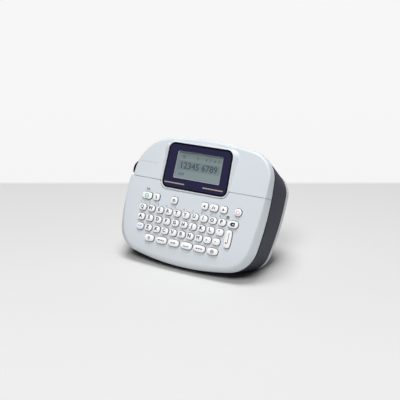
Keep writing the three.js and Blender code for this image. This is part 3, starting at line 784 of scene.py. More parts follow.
def display_boss():
    """Raised border of the display, with a soft foot and a ramp on each side."""
    half = WINDOW["width"] / 2 + SURROUND
    half_height = WINDOW_MIDDLE + SURROUND
    low, high = WINDOW["radius"], WINDOW["height"] - WINDOW["radius"]
    centre = Vector((WINDOW["x"], WINDOW["bottom"] + WINDOW_MIDDLE, 0))
    columns = []
    for x, y in window_outline(SURROUND):
        top = DISPLAY @ Vector((x, y, 0))
        away = y - min(max(y, low), high)
        sideways = copysign(min(1, abs(x) / half) ** 2, x)
        run = sideways * (RAMP_TOE + RAMP_RUN * top.z)
        upright = copysign(RAMP_TOE * abs(away) / (low + SURROUND), away) if away else 0
        toe = Vector((top.x + run, top.y + upright, -WALL / 2))
        toe = toe.lerp(top, -toe.z / (top.z - toe.z))
        out = Vector((toe.x - top.x, toe.y - top.y, 0))
        out = out.normalized() if out.length > 1e-6 else (toe - centre).normalized()
        slope = top - toe
        soft = min(0.4, RAMP_SOFT / slope.length)
        foot = toe + out * RAMP_FOOT
        inner = DISPLAY @ Vector((
            x * (1 - RAMP_SOFT / half),
            (y - WINDOW_MIDDLE) * (1 - RAMP_SOFT / half_height) + WINDOW_MIDDLE, 0))
        columns.append([
            tuple(foot + Vector((0, 0, -WALL / 2))),
            *curve(foot, toe, toe + slope * soft, 5),
            *curve(top - slope * soft, top, inner, 6),
        ])
    return loft([*zip(*columns)])


def key_hole(key):
    """Cutter of a key hole, flared at the face to leave a rounded lip."""
    lip = 0.15
    bend = [i * pi / 10 for i in range(6)]
    profile = [
        (0, -WALL - 1),
        *((lip * (1 - cos(a)), -lip * (1 - sin(a))) for a in bend),
        (lip + 0.05, 0.6),
    ]
    rings = []
    for grow, z in profile:
        wider = 2 * (KEY_CLEARANCE + grow)
        rings.append(level(oval(key["width"] + wider, key["height"] + wider, key["square"]), z))
    return shifted(loft(rings), key["x"], key["y"])


def seam_groove():
    """Cutter of the line across the shell, which runs round the foot of the display."""
    def around(grown, reach):
        return shifted(plate(window_outline(grown), -reach, reach), WINDOW["x"], WINDOW["bottom"])

    half, half_foot, beside = SEAM["width"] / 2, SEAM["foot"] / 2, SEAM["beside"]
    everywhere = (-FAR, FAR)
    band = block(everywhere, (SEAM["y"] - half, SEAM["y"] + half), everywhere)
    band = cut(band, around(beside + half, 2 * FAR))
    round_foot = cut(around(beside + half_foot, FAR), around(beside - half_foot, 2 * FAR))
    below = block(everywhere, (-FAR, SEAM["y"] + half), everywhere)
    band = fused(band, common(round_foot, below))
    core = loft([
        level(outline_points(RIM, SEAM["depth"]), -FAR),
        level(outline_points(RIM, SEAM["depth"]), -SHELL_DEPTH),
        level(outline_points(FACE, SEAM["depth"]), -SEAM["depth"] - FACE_FALL["depth"] / 2),
    ])
    return cut(band, core)


def above_seam():
    return block((-FAR, FAR), (SEAM["y"], FAR), (-FAR, FAR))


def front_shell(keys):
    """Shell with its wing, display border, seam, window pocket and key holes."""
    skin = cut(shell_skin(RIM, FACE), above_seam())
    skin = fused(skin, common(shell_skin(WING_RIM, WING_FACE), above_seam()))
    hollow = loft([
        level(outline_points(WING_RIM, WALL), -SHELL_DEPTH - 1),
        level(outline_points(WING_RIM, WALL), -SHELL_DEPTH + TONGUE_REACH + FIT_GAP),
        level(outline_points(WING_FACE, WALL), -WALL),
    ])
    backing = moved(plate(window_outline(SURROUND), POCKET_FLOOR - 2, POCKET_FLOOR), DISPLAY)
    half_line = WING_LINE["width"] / 2
    wing_line = block((-FAR, WING_LINE["end"]),
                      (WING_LINE["y"] - half_line, WING_LINE["y"] + half_line),
                      (-WING_LINE["depth"], FAR))
    shell = cut(fused(cut(skin, hollow), display_boss(), backing), seam_groove(), wing_line)
    lip = ((0, POCKET_FLOOR), (0, -0.3), (0.08, -0.1), (0.3, 0.02), (0.3, 3))
    pocket = loft([level(window_outline(WINDOW_CLEARANCE + grown), z) for grown, z in lip])
    opening = plate(glass_outline(), -SHELL_DEPTH, SHELL_DEPTH)
    shell = cut(shell, moved(pocket, DISPLAY), moved(opening, DISPLAY))
    return cut(shell, gathered([key_hole(key) for key in keys], "key_holes"))


# ---------------------------------------------------------------- keys

LETTER = {"width": 7.9, "height": 6.5, "square": 2.5}
TOP_Y = -0.8
LOW_Y = -39.6
MARKS_Y = -7.3                  # small digits above the first row of letters
MARKS_SHIFT = -3.6              # and left of the middle of their key


def row(names, legends, y, first, last):
    """Keys of one size, evenly spaced."""
    step = (last - first) / (len(names) - 1)
    return [
        {**LETTER, "name": name, "legend": legend, "x": first + i * step, "y": y}
        for i, (name, legend) in enumerate(zip(names, legends))
    ]


FIRST_ROW = row("qwertyuiop", "QWERTYUIOP", -12.2, -49, 36.2)
SECOND_ROW = row([*"asdfghjkl", "quote"], "ASDFGHJKL'", -21.3, -48.7, 35.8)
THIRD_ROW = row(["shift", *"zxcvbnm", "comma", "period"], "^ZXCVBNM,.", -30.4, -47.8, 34.1)
# name, place across and up, width, height and squareness of the keys of their own size
OTHER_KEYS = (
    ("print", -46.8, TOP_Y, 11, 6.6, 3.2),
    ("preview", -36.4, TOP_Y, 6.9, 6.6, 2.9),
    ("menu", -16.8, TOP_Y, 6.9, 6.6, 2.9),
    ("left", 15.7, TOP_Y, 7.1, 6.6, 2.9),
    ("down", 25.2, TOP_Y, 8.9, 6.8, 2.9),
    ("right", 35.4, TOP_Y, 7.1, 6.6, 2.9),
    ("power", 49.9, TOP_Y, 7.1, 7.1, 2.1),
    ("backspace", 47.2, -12.2, 10.4, 6.8, 2.7),
    ("enter", 45.1, -25.9, 6.7, 16.6, 3.6),
    ("up", -35.4, LOW_Y, 10.3, 6.5, 2.9),
    ("symbol", -22.1, LOW_Y, 12.1, 6.5, 2.9),
    ("text", -8.6, LOW_Y, 11.7, 6.5, 2.9),
    ("space", 5.1, LOW_Y, 12, 6.5, 2.9),
    ("accent", 18.8, LOW_Y, 12.3, 6.5, 2.9),
    ("globe", 32.3, LOW_Y, 11.2, 6.5, 2.9),
)
KEYS = FIRST_ROW + SECOND_ROW + THIRD_ROW + [
    dict(zip(("name", "x", "y", "width", "height", "square"), key)) for key in OTHER_KEYS
]

CROWN_FALL = 0.3                # the middle of a key top over the edge of its flat
KEY_EDGE = 0.6                  # rounding of a key's upper edge
KEY_SLACK = 0.08                # a cap's side inside the key's outline
LEGEND_SHIFT = (-0.5, 0.35)     # a letter's middle from the middle of its key
PRINT_THICKNESS = 0.04
PRINT_LIFT = 0.01               # a print's middle over the surface it is on
STRIP = 0.45                    # width of the strips that a print on a crown is cut into
HOOP_STEPS = 20
LETTER_SIZE, STOP_SIZE = 4.5, 5.6
STOP_DROP = {",": 1.3, ".": 1.3, "'": -0.6}


def key_cap(key):
    """Key with straight sides, a rounded edge and a slightly crowned top."""
    skirt_top = -WALL - FIT_GAP
    bend = [i * pi / 16 for i in range(8)]
    edge = [
        (KEY_SLACK + KEY_EDGE * (1 - cos(a)), KEY_STAND - CROWN_FALL - KEY_EDGE * (1 - sin(a)))
        for a in bend
    ]
    start = edge[-1][0]
    span = min(key["width"], key["height"]) / 2 - start
    crown = [
        (start + span * share, crown_height(key, start + span * share))
        for share in (0.1, 0.2, 0.35, 0.5, 0.7, 0.9)
    ]
    sides = [(0, skirt_top), (KEY_SLACK, skirt_top + 0.1)]
    # inset across, inset up and height of each ring
    profile = [(-KEY_SKIRT["x"], -KEY_SKIRT["y"], skirt_top - KEY_SKIRT["height"])]
    profile += [(inset, inset, z) for inset, z in sides + edge + crown]
    return loft([
        level(oval(key["width"] - 2 * across, key["height"] - 2 * up, key["square"]), z)
        for across, up, z in profile
    ])


def crown_height(key, inset):
    """Height of a key's crowned top, by the distance in from its edge."""
    half = min(key["width"], key["height"]) / 2
    start = KEY_SLACK + KEY_EDGE
    share = min(1.0, max(0.0, (inset - start) / (half - start)))
    return KEY_STAND - CROWN_FALL * (1 - share) ** 2


def inset_at(key, x, y):
    """Distance in from a key's edge of the ring through a place on its top."""
    low, high = 0.0, min(key["width"], key["height"]) / 2 - 0.05
    for _ in range(20):
        inset = (low + high) / 2
        reach = (abs(x) / (key["width"] / 2 - inset)) ** key["square"] + (
            abs(y) / (key["height"] / 2 - inset)) ** key["square"]
        low, high = (low, inset) if reach > 1 else (inset, high)
    return low


def draped(legend, key):
    """Lays flat print over the crown of a key, cut into strips so that it can bend."""
    shape = bmesh.new()
    shape.from_mesh(legend.data)
    for axis, normal in enumerate(((1, 0, 0), (0, 1, 0))):
        places = [v.co[axis] for v in shape.verts]
        for i in range(int(min(places) / STRIP), int(max(places) / STRIP) + 1):
            bmesh.ops.bisect_plane(
                shape, geom=[*shape.verts, *shape.edges, *shape.faces], dist=1e-5,
                plane_co=[n * (i + 0.5) * STRIP for n in normal], plane_no=normal)
    for v in shape.verts:
        v.co.z += crown_height(key, inset_at(key, v.co.x, v.co.y)) + PRINT_LIFT
    shape.to_mesh(legend.data)
    shape.free()
    return legend


def is_closed(made):
    """Whether every edge of a mesh joins two faces."""
    shape = bmesh.new()
    shape.from_mesh(made.data)
    closed = all(edge.is_manifold and edge.is_contiguous for edge in shape.edges)
    shape.free()
    return closed


def text_shape(text, size, x, y, bold):
    """Raised print of a few characters. Where a bold outline would cross itself, shifted copies
    of the plain one make it bold."""
    made = lettering(text, size, bold)
    if not is_closed(made):
        bpy.data.objects.remove(made)
        shift = bold * 0.8
        made = fused(*(
            shifted(lettering(text, size), dx * shift, dy * shift)
            for dx, dy in ((-1, 0), (1, 0), (0, -1), (0, 1))))
    return shifted(made, x, y)


def lettering(text, size, bold=0.0):
    """Raised characters about their middle, in millimetres."""
    letters = bpy.data.curves.new("letters", "FONT")
    letters.body = text
    letters.size = size
    letters.align_x = letters.align_y = "CENTER"
    letters.offset = bold
    letters.extrude = PRINT_THICKNESS / 2
    letters.resolution_u = 3
    holder = linked(bpy.data.objects.new("letters", letters))
    bpy.context.view_layer.update()
    seen = holder.evaluated_get(bpy.context.evaluated_depsgraph_get())
    mesh = bpy.data.meshes.new_from_object(seen)
    bpy.data.objects.remove(holder)
    bpy.data.curves.remove(letters)
    welded(mesh)
    return linked(bpy.data.objects.new("print", mesh))


def bars(*rectangles, thickness=PRINT_THICKNESS):
    """Raised print of straight bars: middle, length, width and turn in degrees of each."""
    made = []
    for x, y, length, width, turn in rectangles:
        bar = block(*((-size / 2, size / 2) for size in (length, width, thickness)))
        turned_bar = Matrix.Translation((x, y, 0)) @ Matrix.Rotation(radians(turn), 4, "Z")
        made.append(moved(bar, turned_bar))
    return fused(*made)


def polygon(*points):
    return plate(points, -PRINT_THICKNESS / 2, PRINT_THICKNESS / 2)


def hole(*points):
    """Cutter that goes through a print."""
    return plate(points, -1, 1)


def hoop(x, y, radius, width, start=0.0, end=360.0):
    """Raised print of a ring or an arc."""
    closed = abs(end - start) >= 360
    count = HOOP_STEPS if closed else HOOP_STEPS + 1
    angles = [radians(start + (end - start) * i / HOOP_STEPS) for i in range(count)]
    corners = [(-width / 2, -1), (width / 2, -1), (width / 2, 1), (-width / 2, 1)]
    vertices = [
        (x + (radius + dr) * cos(a), y + (radius + dr) * sin(a), side * PRINT_THICKNESS / 2)
        for a in angles for dr, side in corners
    ]
    faces = []
    for i in range(count if closed else count - 1):
        a, b = 4 * i, 4 * ((i + 1) % count)
        for k in range(4):
            m = (k + 1) % 4
            faces.append((a + k, b + k, b + m, a + m))
    if not closed:
        faces.append((0, 1, 2, 3))
        faces.append(tuple(4 * (count - 1) + k for k in (3, 2, 1, 0)))
    return mesh_object("hoop", vertices, faces)


# marks made of bars only, and their inks
BAR_MARKS = {
    "shift": (VIOLET_INK, (0, 0.4, 3.6, 0.6, 0), (-1.6, 0.9, 1.2, 0.5, 90),
              (1.6, 0.9, 1.2, 0.5, 90)),
    "preview": (LEGEND_INK, (0, 0, 3.2, 0.95, 108)),
    "symbol": (LEGEND_INK, (-2.2, 0, 2.2, 0.9, 0), (0.6, 0, 1.8, 0.9, 0), (2.8, 0, 1.2, 0.9, 0)),
    "text": (LEGEND_INK, (-1.8, 0, 1.9, 0.9, 0), (0.9, 0, 2.2, 0.9, 0)),
    "space": (LEGEND_INK, (0, -0.7, 4.6, 0.5, 0), (-2.2, -0.2, 1.2, 0.5, 90),
              (2.2, -0.2, 1.2, 0.5, 90)),
    "accent": (LEGEND_INK, (-2.4, 0, 1.8, 0.8, 0), (0, 0, 1.8, 0.8, 0), (2.4, 0, 1.8, 0.8, 0)),
}
# plain arrow heads
ARROW_MARKS = {
    "left": ((-1.3, 0), (0.9, -1.3), (0.9, 1.3)),
    "right": ((1.3, 0), (-0.9, 1.3), (-0.9, -1.3)),
}


def key_legend(key):
    """Printed mark of a key: its shape and its ink."""
    name = key["name"]
    if name in BAR_MARKS:
        ink, *rectangles = BAR_MARKS[name]
        return bars(*rectangles), ink
    if name in ARROW_MARKS:
        return polygon(*ARROW_MARKS[name]), LEGEND_INK
    if "legend" in key:
        size = LETTER_SIZE if key["legend"].isalpha() else STOP_SIZE
        across, up = LEGEND_SHIFT
        drop = STOP_DROP.get(key["legend"], 0.0)
        return text_shape(key["legend"], size, across, up + drop, bold=0.17), LEGEND_INK
    if name == "print":
        return fused(hoop(0, 0, 1.9, 0.7), bars((0, 0, 4.6, 0.6, 0))), GREEN_INK
    if name == "power":
        return fused(hoop(0, -0.2, 1.7, 0.5, 120, 420), bars((0, 1.5, 1.8, 0.5, 90))), ROSE_INK
    if name == "menu":
        return hoop(0, 0, 1.0, 0.7), SYMBOL_INK
    if name == "down":
        head = polygon((0.9, -1.2), (1.9, 0.6), (-0.1, 0.6))
        return fused(bars((-0.8, 0.3, 3.4, 0.6, 70)), head), LEGEND_INK
    if name == "backspace":
        arrow = polygon((-2.7, 0), (-1.1, -1.75), (2.2, -1.75), (2.2, 1.75), (-1.1, 1.75))
        return cut(arrow, hole((1.1, -0.5), (1.1, 0.5), (-0.2, 0.5), (-0.2, -0.5))), BLACK_INK
    if name == "enter":
        lines = bars((0.6, 1.2, 9.2, 0.5, 90), (-0.2, -3.6, 1.7, 0.5, 0))
        return fused(lines, polygon((-2.0, -3.6), (-0.6, -4.5), (-0.6, -2.7))), LEGEND_INK
    if name == "up":
        arrow = polygon((0, 1.7), (-1.6, 0.2), (-0.8, 0.2), (-0.8, -1.5), (0.8, -1.5),
                        (0.8, 0.2), (1.6, 0.2))
        inside = hole((0.3, -1.0), (0.3, 0.5), (0, 0.9), (-0.3, 0.5), (-0.3, -1.0))
        return cut(arrow, inside), SYMBOL_INK
    globe = fused(hoop(0, 0, 1.5, 0.45), bars((0, 0, 3.0, 0.4, 90), (0, 0, 3.0, 0.4, 0)))
    return globe, LEGEND_INK


def with_material(made, index):
    for face in made.data.polygons:
        face.material_index = index
    return made


def dressed_key(key):
    """A key and its legend as one piece."""
    cap = with_material(key_cap(key), 0)
    # sides and skirt below the rounded edge take the side rubber, whose dark colour is partly
    # painted shade
    for face in cap.data.polygons:
        if face.center.z < KEY_STAND - CROWN_FALL - KEY_EDGE:
            face.material_index = 2
    legend, ink = key_legend(key)
    made = gathered([cap, with_material(draped(legend, key), 1)], "key")
    shifted(made, key["x"], key["y"])
    top = SHIFT_TOP if key["name"] == "shift" else KEY_TOP
    side = {"print": GREEN_SIDE, "power": ROSE_SIDE}.get(key["name"], KEY_SIDE)
    node = f"key_{key['name']}"
    finished(made, f"cap_{key['name']}", node, top, ink, side,
             slot="key_plastic", replaces=[node])


def face_print():
    """Small marks printed on the face: a digit over each key of the first row, and two symbols."""
    digits = gathered([
        text_shape(digit, 2.5, key["x"] + MARKS_SHIFT, MARKS_Y, bold=0.05)
        for digit, key in zip("1234567890", FIRST_ROW)
    ], "digits")
    finished(shifted(digits, z=PRINT_LIFT), "printed_digits", "housing", BLUE_INK,
             slot="shell_plastic")
    square = cut(polygon((39.2, -8.4), (42.0, -8.4), (42.0, -5.6), (39.2, -5.6)),
                 hole((41.3, -7.7), (41.3, -6.9), (39.9, -6.9), (39.9, -7.7)))
    label = bars((-48.6, 5.9, 1.7, 0.8, 0), (-46.4, 5.9, 1.6, 0.8, 0), (-47.6, 4.7, 3.4, 0.6, 0))
    finished(shifted(gathered([square, label], "symbols"), z=PRINT_LIFT),
             "printed_symbols", "housing", SYMBOL_INK, slot="shell_plastic")


# ---------------------------------------------------------------- display

PANE_THICKNESS = 0.4
TOUCH_GAP = 0.01                # between parts of one piece that would share a wall
THROUGH_WINDOW = (-5, 5)
THROUGH_RECESS = (-9, 9)
WINDOW_LINES = ((-21.0, 5.2, 21.3, 1.0, 0), (19.9, 5.2, 21.2, 1.0, 0))
# band of dots that are off: place across from the glass's middle and up, length and height
IDLE_BAND = (-0.3, 22.8, 45.0, 9.0)
IDLE_THICKNESS = 0.01
IDLE_LIFT, SHOWN_LIFT = 0.015, 0.03     # over the panel


def window_slab():
    """Dark window with a bevelled black rim and a clear opening over the display."""
    profile = (
        (0, WINDOW_BACK), (0, WINDOW_TOP - 0.5), (-0.25, WINDOW_TOP - 0.15), (-0.8, WINDOW_TOP))
    slab = loft([level(window_outline(grown), z) for grown, z in profile])
    middle = plate(window_outline(-WINDOW_RIM), *THROUGH_WINDOW)
    # the rim takes the black that is painted shade for the dark gap at the window's edge
    rim = with_material(cut(slab, middle), 1)
    panel = plate(window_outline(-WINDOW_RIM - TOUCH_GAP), WINDOW_BACK, WINDOW_TOP)
    panel = cut(panel, plate(glass_outline(), *THROUGH_WINDOW))
    return gathered([rim, with_material(panel, 0)], "window")


# text, size, place across from the glass's middle, place up the display and boldness
SHOWN = (
    ("12", 3.4, -17.5, 30.6, 0.08),
    ("3", 3.4, -2.5, 30.6, 0.08),
    ("4", 3.4, 6.5, 30.6, 0.08),
    ("5", 3.4, 11.0, 30.6, 0.08),
    ("6", 3.4, 15.5, 30.6, 0.08),
    ("7", 3.4, 20.0, 30.6, 0.08),
    ("12345 6789", 8.4, -0.5, 22.6, 0.36),
    ("1234", 3.6, -18.0, 14.6, 0.08),
)


def display_pieces():
    """Window, clear pane, walls below it, printed lines and what the display shows."""
    def on_display(made, name, *materials, z=0.0, slot="window_plastic", replaces=()):
        moved(made, DISPLAY @ Matrix.Translation((0, 0, z)))
        finished(made, name, "housing", *materials, slot=slot, replaces=replaces)

    on_display(window_slab(), "window_print", PRINTED_WINDOW, WINDOW_EDGE,
               replaces=["display_window"])
    pane_back = WINDOW_TOP - PANE_THICKNESS
    on_display(plate(glass_outline(-0.05), pane_back, WINDOW_TOP), "window_pane", PANE)
    walls = cut(
        plate(glass_outline(-0.02), LCD_TOP + 0.02, pane_back - 0.02),
        plate(glass_outline(-0.3), *THROUGH_RECESS))
    on_display(walls, "display_recess", RECESS)
    on_display(bars(*WINDOW_LINES), "window_lines", PALE_INK, z=WINDOW_TOP + PRINT_LIFT)
    across, *rest = IDLE_BAND
    idle = bars((GLASS["x"] + across, *rest, 0), thickness=IDLE_THICKNESS)
    on_display(idle, "display_idle_dots", LCD_IDLE, z=LCD_TOP + IDLE_LIFT, slot="lcd_glass")
    rows = gathered([
        text_shape(text, size, GLASS["x"] + x, y, bold=bold) for text, size, x, y, bold in SHOWN
    ], "rows")
    on_display(rows, "display_characters", LCD_DARK, z=LCD_TOP + SHOWN_LIFT, slot="lcd_glass")


# ---------------------------------------------------------------- dark case and cover


def case_outline(z):
    front, back = -SHELL_DEPTH - FIT_GAP, -CASE_BACK
    return between(CASE_FRONT, CASE_REAR, (z - front) / (back - front))


def below_table(height):
    """Everything lower than a height above the table."""
    matrix = DEVICE.inverted() @ Matrix.Scale(MM, 4)
    return moved(block((-FAR, FAR), (-FAR, FAR), (-FAR, height)), matrix)


EDGE_SOFT = 0.3                 # rounding of the case's edges
LIP_SOFT = 0.25                 # slope at the end of the cover's lip


def soft_edge(size):
    """Inset and height of a rounded edge: at its end, halfway round and where it begins."""
    return ((size, 0.0), (0.3 * size, 0.3 * size), (0.0, size))


def dark_case():
    """Dark case with its shadow gap, tongue, floor and the walls of both bays."""
    def ring(z, inset=0.0, at=None):
        """Ring at z, of the case's outline there or of its outline at another height."""
        return level(outline_points(case_outline(z if at is None else at), inset), z)

    def tongue_ring(z, inset=0.0):
        return level(outline_points(WING_RIM, WALL + FIT_GAP + inset), z)

    front, back, web = -SHELL_DEPTH - FIT_GAP, -CASE_BACK, -WEB_FRONT
    gap = front - SHADOW_GAP["height"]
    tongue_top = -SHELL_DEPTH + TONGUE_REACH
    body = loft([
        *(ring(back + up, inset, at=back) for inset, up in soft_edge(EDGE_SOFT)),
        *(ring(gap - up, inset, at=gap) for inset, up in reversed(soft_edge(EDGE_SOFT))),
        ring(gap, SHADOW_GAP["depth"]),
        ring(front, SHADOW_GAP["depth"]),
    ])
    tongue = loft([tongue_ring(front - 1), tongue_ring(tongue_top)])
    front_room = loft([
        ring(web, WALL),
        ring(front, WALL + FIT_GAP + TONGUE_WALL),
        tongue_ring(tongue_top + 1, TONGUE_WALL),
    ])
    back_room = loft([ring(back - 1, WALL, at=back), ring(web - WALL, WALL)])
    body = fused(body, tongue)
    body = cut(body, cut(front_room, below_table(WALL)), cut(back_room, below_table(WALL)))
    for bay in (CELL_BAY, CASSETTE_BAY):
        wall = plate(
            rounded_rectangle(bay["width"] + 2 * BAY_WALL, bay["height"] + 2 * BAY_WALL,
                              bay["radius"] + BAY_WALL, bay["x"], bay["y"]),
            back + BAY_RIM, web - WALL / 2)
        sizes = (bay[key] for key in ("width", "height", "radius", "x", "y"))
        body = fused(body, cut(wall, plate(rounded_rectangle(*sizes), -FAR, FAR)))
    tape_y = ROLLER["y"] - ROLLER["radius"] - FIT_GAP / 2
    tape_path = block(
        (-FAR, CASSETTE_BAY["x"]),
        (tape_y - TAPE_SLOT["height"] / 2, tape_y + TAPE_SLOT["height"] / 2),
        (back + TAPE_SLOT["rim"], web - WALL - FIT_GAP))
    lever_room = block(
        (-FAR, LEVER_WALL + LEVER["tip"] + LEVER["end"] + LEVER["swing"]),
        (LEVER["y"] - LEVER["heel"] - FIT_GAP, LEVER["high"] + 2 * FIT_GAP),
        (-LEVER["back"] - FIT_GAP, -LEVER["front"] + FIT_GAP))
    bearing = plate(circle(ROLLER["shaft"] + FIT_GAP, ROLLER_X, ROLLER["y"]),
                    web - WALL - 1, web + 1)
    body = cut(body, tape_path, lever_room, bearing, below_table(0))
    board_back = MAT_FRONT - MAT_THICKNESS - FIT_GAP - BOARD_THICKNESS
    posts = [
        plate(circle(POST["radius"], x, y), web - 0.5, board_back - FIT_GAP)
        for x in (-POST["x"], POST["x"]) for y in (POST["low"], POST["high"])
    ]
    return fused(body, *posts)


def back_cover():
    """Crowned cover with a hollow inside, a thumb recess and a lip that fits the case."""
    front = -CASE_BACK - FIT_GAP
    depth = COVER_BACK + front

    def crown(share):
        """Inset of the crown: a straight start, then a round shoulder to the flat back."""
        shares, insets = zip(*COVER_CROWN)
        return float(np.interp(share, shares, insets))

    def stations(wall, steps):
        return [
            level(outline_points(CASE_REAR, crown(s) + wall), front - depth * s + wall)
            for s in reversed(steps)
        ]

    def catch_ring(grown, z):
        return level(rounded_rectangle(
            CATCH["width"] + 2 * grown, CATCH["height"] + 2 * grown, CATCH["radius"] + grown,
            y=CATCH["y"]), z)

    def lip_ring(inset, z):
        return level(outline_points(CASE_REAR, WALL + FIT_GAP + inset), z)

    skin = loft(stations(0, (0, 0.02, 0.2, 0.4, 0.55, 0.68, 0.8, 0.9, 0.96, 1)))
    room = cut(loft(stations(WALL, (0, 0.4, 0.68, 0.9, 1))), below_table(WALL))
    catch = loft([
        catch_ring(grown, z - COVER_BACK) for grown, z in
        ((0.9, -1), (0.7, 0), (0.35, 0.12), (0.1, 0.4), (0, CATCH["depth"]))
    ])
    lip = cut(
        loft([
            lip_ring(0, front - TONGUE_WALL),
            lip_ring(0, front + TONGUE_REACH - LIP_SOFT),
            lip_ring(LIP_SOFT, front + TONGUE_REACH),
        ]),
        loft([lip_ring(TONGUE_WALL, -COVER_BACK), lip_ring(TONGUE_WALL, 0)]),
        below_table(WALL + FIT_GAP))
    return cut(fused(cut(skin, room), lip), catch, below_table(0))


def soften(made, width):
    """Rounds the sharp edges of a closed solid."""
    bevel = made.modifiers.new("soft", "BEVEL")
    bevel.width = width
    bevel.segments = 3
    bevel.limit_method = "ANGLE"
    bevel.angle_limit = radians(40)
    return settled(made)


def cutter_lever():
    """Curved paddle with its heel about the pivot."""
    pivot_x, y, heel = LEVER_WALL + LEVER["pivot"], LEVER["y"], LEVER["heel"]
    middle = (y + LEVER["high"]) / 2
    turns = [-i * pi / 12 for i in range(13)]
    points = [(pivot_x + heel * cos(a), y + heel * sin(a)) for a in turns]
    points += [p[:2] for p in curve(
        (LEVER_WALL - LEVER["stand"], y + heel, 0),
        (LEVER_WALL - LEVER["bulge"], middle + LEVER["bulge"], 0),
        (LEVER_WALL + LEVER["tip"], LEVER["high"], 0), 16)]
    points.append((LEVER_WALL + LEVER["tip"] + LEVER["end"], LEVER["high"]))
    return soften(plate(points[::-1], -LEVER["back"], -LEVER["front"]), 0.5)


# ---------------------------------------------------------------- cassette, cells and print unit

BAY_FRONT = -WEB_FRONT - WALL - FIT_GAP     # front of the cassette, the cells and the roller
CASSETTE_SOFT = 0.6
CASSETTE_SPLIT = {"below": 5.0, "depth": 0.35, "flat": 0.1, "wide": 0.25}
LABEL_BED = {"short": 8.0, "height": 12.0, "radius": 1.5, "up": 9.0, "depth": 0.3}
HUB_WALL = {"outer": 0.25, "inner": 1.2, "end": 0.8}
TEETH = {"count": 6, "in": 1.8, "long": 1.5, "wide": 0.8, "short": 3.0}


def tape_cassette():
    """Cassette with rounded edges, a seam between its halves, two toothed hubs and a blank
    label bed."""
    def ring(inset, z):
        return level(rounded_rectangle(
            CASSETTE["width"] - 2 * inset, CASSETTE["height"] - 2 * inset,
            CASSETTE["radius"] - inset, CASSETTE["x"], CASSETTE["y"]), z)

    front, back = BAY_FRONT, BAY_FRONT - CASSETTE["thickness"]
    split = front - CASSETTE_SPLIT["below"]
    corner = ((CASSETTE_SOFT, 0), (0.17, 0.17), (0, CASSETTE_SOFT))
    groove = ((0, -CASSETTE_SPLIT["wide"]), (CASSETTE_SPLIT["depth"], -CASSETTE_SPLIT["flat"]),
              (CASSETTE_SPLIT["depth"], CASSETTE_SPLIT["flat"]), (0, CASSETTE_SPLIT["wide"]))
    body = loft([
        *(ring(inset, back + up) for inset, up in corner),
        *(ring(inset, split + up) for inset, up in groove),
        *(ring(inset, front - up) for inset, up in reversed(corner)),
    ])
    bed = plate(
        rounded_rectangle(
            CASSETTE["width"] - LABEL_BED["short"], LABEL_BED["height"], LABEL_BED["radius"],
            CASSETTE["x"], CASSETTE["y"] - CASSETTE["height"] / 2 + LABEL_BED["up"]),
        back - 1, back + LABEL_BED["depth"])
    hubs = [(CASSETTE["x"] + side * CASSETTE["width"] / 4, CASSETTE["y"]) for side in (-1, 1)]
    hub = CASSETTE["hub"]
    holes = [plate(circle(hub, *middle), back - 1, front + 1) for middle in hubs]
    pieces = [with_material(cut(body, bed, *holes), 0)]
    for middle in hubs:
        wall = plate(circle(hub - HUB_WALL["outer"], *middle),
                     back + HUB_WALL["end"], front - HUB_WALL["end"])
        bore = plate(circle(hub - HUB_WALL["inner"], *middle), back - 1, front + 1)
        pieces.append(with_material(cut(wall, bore), 1))
    finished(gathered(pieces, "cassette"), "tape_cassette_shell", "housing",
             CASSETTE_ABS, HUB_ACETAL, slot="cassette_plastic", replaces=["tape_cassette"])
    group = tooth_ring(HUB_ACETAL)
    tooth = (TEETH["long"], TEETH["wide"], CASSETTE["thickness"] - TEETH["short"])
    teeth = [
        shifted(grown_from(group, "teeth", Count=TEETH["count"], Radius=hub - TEETH["in"],
                           Tooth=tooth), x, y, (front + back) / 2)
        for x, y in hubs
    ]
    finished(gathered(teeth, "teeth"), "cassette_hub_teeth", "housing", HUB_ACETAL,
             slot="cassette_plastic")


CELL_STEPS = 40
SLEEVE = {"start": 0.6, "end": 0.9, "band": 11.0, "thickness": 0.11, "soft": (0.1, 0.15)}


def cell_sleeve(start, end):
    """Thin tube of printed film, with its ends drawn in."""
    radius = CELL["diameter"] / 2
    inward_by, along = SLEEVE["soft"]
    outside = turned([
        (radius - inward_by, start), (radius, start + along), (radius, end - along),
        (radius - inward_by, end)], steps=CELL_STEPS)
    inside = radius - SLEEVE["thickness"]
    return cut(outside, turned([(inside, start - 1), (inside, end + 1)], steps=CELL_STEPS))


def cells():
    """Four cells in plain sleeves, laid nose to tail."""
    radius, half, nub = CELL["diameter"] / 2, CELL["length"] / 2, CELL["nub"]
    can = turned([
        (radius - 0.5, -half), (radius - 0.15, -half + 0.1), (radius - 0.12, -half + 0.5),
        (radius - 0.12, half - 0.9), (radius - 0.25, half - 0.7), (nub + 0.5, half - 0.25),
        (nub + 0.1, half - 0.1), (nub, half + 0.1), (nub, half + CELL["nub_length"] - 0.2),
        (nub - 0.25, half + CELL["nub_length"]),
    ], steps=CELL_STEPS)
    band = half - SLEEVE["band"]
    cell = gathered([
        with_material(can, 0),
        with_material(cell_sleeve(-half + SLEEVE["start"], band), 1),
        with_material(cell_sleeve(band + 0.02, half - SLEEVE["end"]), 2),
    ], "cell")
    lying = Matrix.Rotation(pi / 2, 4, "Y")
    moved(cell, lying @ Matrix.Translation((0, 0, -CELL["nub_length"] / 2)))
    finishes = (CELL_STEEL, CELL_SLEEVE, CELL_BAND)
    for material in finishes:
        cell.data.materials.append(material)
    row = grown_from(cell_row(*finishes), "cells", Count=CELL_COUNT, Pitch=CELL_PITCH, Cell=cell)
    bpy.data.objects.remove(cell)
    shifted(row, CELL_BAY["x"], CELL["y"] - (CELL_COUNT - 1) / 2 * CELL_PITCH, BAY_FRONT - radius)
    finished(row, "sleeved_cells", "housing", *finishes, slot="cell_metal",
             replaces=[f"battery_{i}" for i in range(1, CELL_COUNT + 1)])


ROLLER_STEPS = 48
ROLLER_CORE = 1.0               # wall of the steel core inside the rubber


